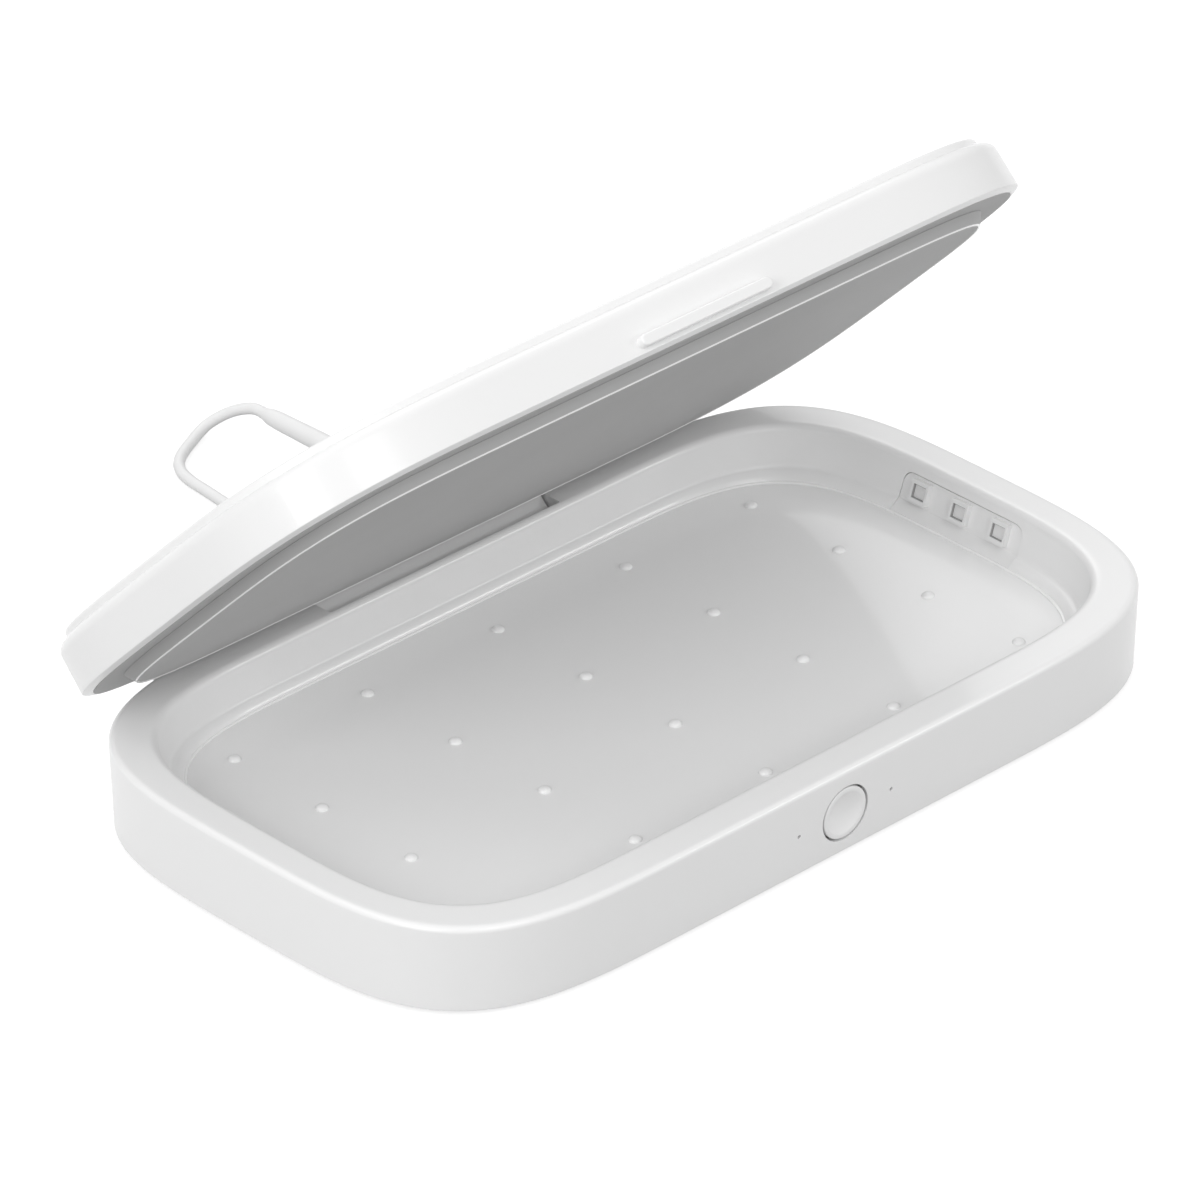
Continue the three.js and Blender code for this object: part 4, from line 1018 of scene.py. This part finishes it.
def makeLidShell():
    edge, shoulder, draft = levels["lip"], levels["shoulder"], lidShell["draft"]
    rise = shoulder - lidShell["drop"]
    rows = [(inset, shoulder + z) for inset, z in lidShell["roof"]]
    rows += [(lidShell["lining"], rise), (lidShell["wall"], edge)]
    rows += [(inset, edge + z) for inset, z in lidShell["chamfer"]] + [(draft, rise)]
    rows += roundRows(draft, lidShell["inset"] - draft, rise, lidShell["drop"], 9)
    rows += [(lidShell["crown"], shoulder)]
    obj = skinOn(outer, "lidShell", rows)
    bevel, length = grip["bevel"], grip["proud"] + grip["root"]
    tab = roundedOutline(grip["halfLength"], grip["height"] / 2, grip["round"], 10)
    rows = []
    for inset, z in reversed(roundRows(0, bevel, 0, bevel, 4)):
        narrow, flat = 1 - inset / grip["halfLength"], 1 - 2 * inset / grip["height"]
        rows.append((narrow, flat, bevel - z))
    bar = raiseSkin("grip", tab, rows + [(1, 1, length)])
    start = (0, -outer["halfDepth"] - grip["proud"], grip["z"])
    combine(obj, placeBy(bar, Matrix.Translation(start) @ alongBack), "UNION")
    return smooth(settle(obj, True))


plate = {"inset": 2.35, "underside": 2.8, "round": 0.7, "crown": 3.5}


def makeTopPlate():
    low, top, inset, soft = levels["plate"], levels["top"], plate["inset"], plate["round"]
    rows = [(plate["underside"], low), (inset, low), (inset, top - soft - 0.05)]
    rows += roundRows(inset, soft, top - soft, soft, 7) + [(plate["crown"], top)]
    obj = skinOn(outer, "lidTopPlate", rows)
    return smooth(settle(obj, True))


# insets from the tray's outline and the outer one, with heights above the lip
liner = {
    "platform": [(0.4, -0.3), (0.1, 0.0), (-1.02, 0.0)],
    "edge": [(2.1, 0.0), (1.95, 0.04), (1.85, 0.15), (1.85, 3.2), (3.3, 3.2), (3.3, 1.6)],
    "seat": [(2.6, 0.0), (1.6, 0.0)],
    "hollow": (1.9, 3.2),
    "thickness": 1.6,
}
armSlot = {"halfWidth": 29.9, "along": (52.3, 55.7), "height": (16, 26)}


def cutArmSlot(obj):
    half = armSlot["halfWidth"]
    slot = blockBetween("armSlot", (-half, half), armSlot["along"], armSlot["height"])
    return combine(obj, slot)


def makeLiner():
    lip, seat, thickness = levels["lip"], levels["seat"], liner["thickness"]
    rows = [(inset, seat + z) for inset, z in liner["seat"]]
    rows += [(inset, lip + z) for inset, z in liner["platform"]]
    platform = skinOn(tray, "lidLiner", rows, True, False)
    rows = [(inset, lip + z) for inset, z in liner["edge"]]
    edge = skinOn(outer, "linerEdge", rows, False, False)
    high, low = liner["hollow"]
    rows = [(high, lip + thickness), (low, seat + thickness)]
    back = skinOn(tray, "linerBack", rows, False)
    obj = joined("lidLiner", [platform, edge, back])
    bridgeAt(obj, lip)
    bridgeAt(obj, lip + thickness)
    return smooth(settle(cutArmSlot(obj), True))


film = {"outer": 1.72, "inner": -0.2, "proud": 0.08, "sunk": 0.4}


def makeLipFilm():
    # a thin sheet in the reflector's grey on the lip round the platform, which makes the lip
    # darker
    low, high = levels["lip"] - film["proud"], levels["lip"] + film["sunk"]
    obj = skinOn(outer, "lipFilm", [(film["outer"], low), (film["outer"], high)])
    rows = [(film["inner"], low - 1), (film["inner"], high + 1)]
    combine(obj, skinOn(tray, "opening", rows))
    return smooth(settle(cutArmSlot(obj), True))


pan = {
    "middle": 2.4,
    "flat": 1.4,
    "foot": 0.7,
    "reach": -0.43,
    "soft": 0.4,
    "belowLip": 0.12,
    "innerFoot": 1.3,
    "thickness": 0.6,
}


def makeReflector():
    # a shallow pan over the platform, with its wall up to the lip
    platform, wallTop = levels["platform"], levels["lip"] - pan["belowLip"]
    foot, high = (pan["foot"], platform), (pan["reach"], wallTop)
    rows = [(pan["middle"], platform)]
    rows += softCorner((pan["flat"], platform), foot, high, pan["soft"])
    rows += [high, (0.0, wallTop), (pan["innerFoot"], platform + pan["thickness"])]
    return smooth(settle(skinOn(tray, "reflector", rows), True))


arm = {
    "play": 0.4,
    "barrel": 2.8,
    "barrelBevel": 0.3,
    "bore": 2.2,
    "reach": 13,
    "underside": 21.2,
    "top": 23.2,
    "bevel": 0.2,
}


def makeBracket():
    half, barrel = notch["halfWidth"] - arm["play"], arm["barrel"]
    high, bevel = arm["top"], arm["bevel"]
    y, z = hinge["y"], hinge["z"]
    across, start, end = (-half, half), (-half, y, z), (half, y, z)
    obj = barBetween("hingeBracket", start, end, barrel, 48, arm["barrelBevel"])
    combine(obj, blockBetween("arm", across, (y - barrel, y), (z, high), bevel), "UNION")
    along, height = (y - arm["reach"], y), (arm["underside"], high)
    combine(obj, blockBetween("armFoot", across, along, height, bevel), "UNION")
    combine(obj, barBetween("pinBore", (-half - 3, y, z), (half + 3, y, z), arm["bore"], 32))
    return smooth(settle(obj, True))


edgeBead = {
    "insetX": 0.9,
    "insetY": 0.9,
    "z": levels["platform"] + 0.12,
    "radius": 0.25,
    "sides": 10,
}
lid, topPlate, lidLiner = makeLidShell(), makeTopPlate(), makeLiner()
reflector, bracket, lipFilm = makeReflector(), makeBracket(), makeLipFilm()
platformBead = makeBead("platformBead", edgeBead, True)
print("lid made")


class Wire:
    # a socket that arithmetic works on
    def __init__(self, shader, socket):
        self.shader, self.socket = shader, socket

    def maths(self, operation, first, second):
        return self.shader.add("ShaderNodeMath", {"operation": operation}, [first, second])

    def __add__(self, other):
        return self.maths("ADD", self, other)

    def __sub__(self, other):
        return self.maths("SUBTRACT", self, other)

    def __rsub__(self, other):
        return self.maths("SUBTRACT", other, self)

    def __mul__(self, other):
        return self.maths("MULTIPLY", self, other)

    __radd__, __rmul__ = __add__, __mul__


class Shader:
    def __init__(self, name, **fixed):
        self.material = bpy.data.materials.new(name)
        self.material.use_nodes = True
        self.tree = self.material.node_tree
        self.surface = self.tree.nodes["Principled BSDF"]
        for key, value in fixed.items():
            self.surface.inputs[key.replace("_", " ")].default_value = value

    def feed(self, socket, value):
        if isinstance(value, Wire):
            self.tree.links.new(value.socket, socket)
        else:
            socket.default_value = value

    def add(self, kind, settings, sockets, output=0):
        node = self.tree.nodes.new(kind)
        for key, value in settings.items():
            setattr(node, key, value)
        named = sockets.items() if isinstance(sockets, dict) else enumerate(sockets)
        for key, value in named:
            self.feed(node.inputs[key], value)
        return Wire(self, node.outputs[output])

    def place(self):
        return self.add("ShaderNodeTexCoord", {}, {}, "Object")

    def noise(self, scale, detail=2.0, rough=0.5, place=None):
        return self.add("ShaderNodeTexNoise", {}, {
            "Vector": place or self.place(),
            "Scale": scale,
            "Detail": detail,
            "Roughness": rough,
        })

    def mix(self, share, first, second):
        # sockets 6 and 7 hold the two colours, and output 2 the mixed one
        node = {"data_type": "RGBA"}
        return self.add("ShaderNodeMix", node, {0: share, 6: first, 7: second}, 2)

    def stretch(self, scale):
        return self.add("ShaderNodeMapping", {}, {"Vector": self.place(), "Scale": scale})

    def relief(self, height, depth, strength=1.0):
        sockets = {"Height": height, "Distance": depth, "Strength": strength}
        bump = self.add("ShaderNodeBump", {}, sockets)
        self.feed(self.surface.inputs["Normal"], bump)

    def give(self, **sockets):
        for key, value in sockets.items():
            self.feed(self.surface.inputs[key.replace("_", " ")], value)
        return self.material


def grey(value):
    return (value, value, value, 1.0)


def mouldedPlastic(name, colour, gloss, grain):
    # spark-eroded mould texture, with slow drifts of tone and gloss from the moulding
    shader = Shader(name, IOR=1.48, Coat_Weight=0.35, Coat_Roughness=0.12)
    fine = shader.noise(grain["scale"], 3.0, 0.6)
    drift = shader.noise(14.0, 2.0)
    shader.relief(fine, grain["depth"], 0.6)
    darker = tuple(channel * 0.975 for channel in colour[:3]) + (1.0,)
    return shader.give(
        Base_Color=shader.mix(drift * 0.9, colour, darker),
        Roughness=gloss + (drift - 0.5) * 0.08 + fine * 0.04,
    )


def rubber(name, colour):
    shader = Shader(name, IOR=1.5)
    fine = shader.noise(2600.0, 3.0)
    shader.relief(fine, 0.00004, 0.8)
    dusty = shader.noise(120.0, 4.0)
    worn = shader.mix(dusty, colour, grey(0.5))
    return shader.give(Base_Color=worn, Roughness=0.72 + dusty * 0.18)


def platedSteel(name, colour, rough):
    shader = Shader(name, Metallic=1.0)
    lines = shader.noise(900.0, 2.0, 0.5, shader.stretch((1.0, 12.0, 1.0)))
    shader.relief(lines, 0.00001, 0.5)
    brushed = shader.mix(lines, colour, grey(0.5))
    return shader.give(Base_Color=brushed, Roughness=rough + lines * 0.12)


def reflectorFilm(name, colour):
    shader = Shader(name, Specular_IOR_Level=0.12)
    haze = shader.noise(30.0, 3.0)
    fine = shader.noise(1800.0, 2.0)
    shader.relief(fine, 0.000004, 0.5)
    hazy = shader.mix(haze * 0.4, colour, grey(0.42))
    return shader.give(Base_Color=hazy, Roughness=0.5 + haze * 0.1)


def cableSheath(name, colour):
    shader = Shader(name, IOR=1.46)
    skin = shader.noise(1500.0, 3.0)
    drift = shader.noise(45.0, 2.0)
    shader.relief(skin, 0.00003, 0.5)
    sheath = shader.mix(drift * 0.6, colour, grey(0.78))
    return shader.give(Base_Color=sheath, Roughness=0.42 + skin * 0.1)


def wovenStrap(name, colour):
    shader = Shader(name, Sheen_Weight=0.3)
    threads = []
    for direction in ("X", "Y"):
        sockets = {"Vector": shader.place(), "Scale": 900.0}
        threads.append(shader.add("ShaderNodeTexWave", {"bands_direction": direction}, sockets))
    weave = threads[0] * threads[1]
    shader.relief(weave, 0.0002, 0.8)
    worn = shader.mix(weave, colour, grey(0.09))
    return shader.give(Base_Color=worn, Roughness=0.85 - weave * 0.1)


def clearPane(name):
    shader = Shader(name, IOR=1.46, Transmission_Weight=0.9)
    smear = shader.noise(400.0, 2.0)
    return shader.give(Base_Color=grey(0.95), Roughness=0.04 + smear * 0.05)


def circuitBoard(name):
    shader = Shader(name, IOR=1.5)
    tracks = shader.add("ShaderNodeTexBrick", {"offset": 0.37}, {
        "Vector": shader.place(),
        "Scale": 260.0,
        "Mortar Size": 0.05,
        "Color1": (0.02, 0.16, 0.07, 1),
        "Color2": (0.02, 0.2, 0.09, 1),
        "Mortar": (0.05, 0.33, 0.15, 1),
    })
    fine = shader.noise(900.0, 2.0)
    shader.relief(fine, 0.00002, 0.5)
    return shader.give(Base_Color=tracks, Roughness=0.35 + fine * 0.1)


# how fine and how deep the grain of each moulding is
grains = {
    "shell": {"scale": 2400.0, "depth": 0.000025},
    "component": {"scale": 3000.0, "depth": 0.00002},
    "smooth": {"scale": 1600.0, "depth": 0.00001},
    "acetal": {"scale": 1500.0, "depth": 0.00001},
    "lead": {"scale": 900.0, "depth": 0.00001},
    "ceramic": {"scale": 3500.0, "depth": 0.00001},
    "pane": {"scale": 3500.0, "depth": 0.000004},
    "polished": {"scale": 1600.0, "depth": 0.000003},
}
cream, ivory, gold = (0.8, 0.79, 0.74, 1), (0.7, 0.65, 0.52, 1), (0.83, 0.62, 0.3, 1)
finishes = {
    "white_shell": mouldedPlastic("shellWhite", grey(0.86), 0.34, grains["shell"]),
    "white_liner": mouldedPlastic("linerWhite", grey(0.84), 0.3, grains["smooth"]),
    "grey_reflector": reflectorFilm("reflectorGrey", grey(0.48)),
    "rubber_foot": rubber("footRubber", grey(0.42)),
    "steel": platedSteel("platedSteel", grey(0.68), 0.24),
    "acetal": mouldedPlastic("acetalCream", cream, 0.4, grains["acetal"]),
    "circuit_board": circuitBoard("boardGreen"),
    "black_component": mouldedPlastic("componentBlack", grey(0.03), 0.5, grains["component"]),
    # the lamp cups' dark grey is painted shade on the recess walls round each pane
    "lamp_window": mouldedPlastic("lampCeramicPaintedShade", grey(0.36), 0.35, grains["ceramic"]),
    "light_guide": clearPane("lightGuideClear"),
    "flat_lead": mouldedPlastic("leadIvory", ivory, 0.45, grains["lead"]),
    "white_cable": cableSheath("cableWhite", grey(0.78)),
}
paneFrosted = mouldedPlastic("lampPaneFrosted", grey(0.82), 0.25, grains["pane"])
# the beads' white is a little lighter than the shell's: a painted highlight along the tray's foot
# and the platform's edge
beadWhitePaintedHighlight = mouldedPlastic("beadWhitePaintedHighlight", grey(0.92), 0.16, grains["polished"])
strapBlack = wovenStrap("strapBlack", grey(0.02))
contactGold = platedSteel("contactGold", gold, 0.2)


def dress(obj, slot, body, nodes=(), material=None):
    obj.data.materials.clear()
    obj.data.materials.append(material or finishes[slot])
    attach(obj, body)
    if nodes:
        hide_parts(*nodes)


for entry in frame["record"]["subparts"]:
    node = frame["nodes"][entry["node"]]
    node.data.materials.clear()
    node.data.materials.append(finishes[entry["material_slot"]])

ends = ["front_left", "back_left", "front_right", "back_right"]
dress(housing, "white_shell", "base", ["upper_housing"])
dress(bottomCover, "white_shell", "base", ["bottom_cover"])
for end, foot, screw in zip(ends, feet, coverScrews):
    dress(foot, "rubber_foot", "base", ["foot_" + end])
    dress(screw, "steel", "base", ["cover_screw_" + end])
dress(pushButton, "white_shell", "button", ["power_button"])
for side, cover in lampCovers.items():
    dress(cover, "white_liner", "base", ["led_cover_" + side])
for node, (body, pane) in lamps.items():
    dress(body, "lamp_window", "base", [node])
    dress(pane, "lamp_window", "base", material=paneFrosted)
dress(lid, "white_shell", "lid", ["lid_shell"])
dress(topPlate, "white_shell", "lid", ["lid_top_plate"])
dress(lidLiner, "white_liner", "lid", ["lid_liner"])
dress(reflector, "grey_reflector", "lid", ["reflector_plate"])
dress(lipFilm, "grey_reflector", "lid")
dress(platformBead, "white_liner", "lid", material=beadWhitePaintedHighlight)
dress(trayBead, "white_shell", "base", material=beadWhitePaintedHighlight)
dress(bracket, "white_liner", "lid", ["hinge_bracket"])
dress(boxPlugBody, "white_cable", "base", ["cable_plug"])
dress(cableSleeve, "white_cable", "base", ["strain_relief"])
dress(powerCord, "white_cable", "base", ["power_cord", "cord_coil", "cord_tail"])
dress(cordTie, "black_component", "base", ["cord_tie"], strapBlack)
dress(farBody, "white_cable", "base", ["usb_plug_body"])
dress(farMetal, "steel", "base", ["usb_plug_shell"])
dress(farTongue, "white_cable", "base")
dress(farContacts, "steel", "base", material=contactGold)
print("pieces dressed")

light = {"world": 0.62, "floor": 0.4, "floorGlow": 0.74, "aim": (0, 0, 0.02)}
studioLights = [
    {"name": "keyLight", "place": (-1.8, -0.3, 1.1), "size": 1.2, "watts": 15.0},
    {"name": "frontLight", "place": (-0.3, -1.5, 1.6), "size": 1.2, "watts": 9.5},
    {"name": "backLight", "place": (0.9, 1.3, 1.4), "size": 1.2, "watts": 7.5},
    {"name": "leftBackLight", "place": (-1.2, 0.9, 1.6), "size": 1.2, "watts": 5.0},
    {"name": "edgeLight", "place": (1.2, -1.4, 0.82), "size": 0.3, "watts": 3.5},
]


def makeStage():
    bpy.ops.object.select_all(action="DESELECT")
    bpy.ops.mesh.primitive_plane_add(size=12, location=(0, 0, -0.0002))
    floor = bpy.context.object
    floor.name = "floor"
    shader = Shader("floorWhite", Roughness=0.9)
    seen = shader.add("ShaderNodeLightPath", {}, {}, "Is Camera Ray")
    mirrored = shader.add("ShaderNodeLightPath", {}, {}, "Is Glossy Ray")
    through = shader.add("ShaderNodeLightPath", {}, {}, "Is Transmission Ray")
    shader.give(Base_Color=grey(light["floor"]), Emission_Color=grey(1.0))
    shader.give(Emission_Strength=(seen + mirrored + through) * light["floorGlow"])
    floor.data.materials.append(shader.material)
    world = bpy.data.worlds.new("studio")
    bpy.context.scene.world = world
    world.use_nodes = True
    background = world.node_tree.nodes["Background"]
    background.inputs["Color"].default_value = grey(1.0)
    background.inputs["Strength"].default_value = light["world"]


def makeLights():
    for settings in studioLights:
        bpy.ops.object.light_add(type="AREA", location=settings["place"])
        lamp = bpy.context.object
        lamp.name = settings["name"]
        lamp.data.energy = settings["watts"]
        lamp.data.shape = "DISK"
        lamp.data.size = settings["size"]
        aim = Vector(light["aim"]) - Vector(settings["place"])
        lamp.rotation_euler = aim.to_track_quat("-Z", "Y").to_euler()


makeStage()
makeLights()
bpy.context.scene.view_settings.view_transform = "Standard"
print("stage and lights made")
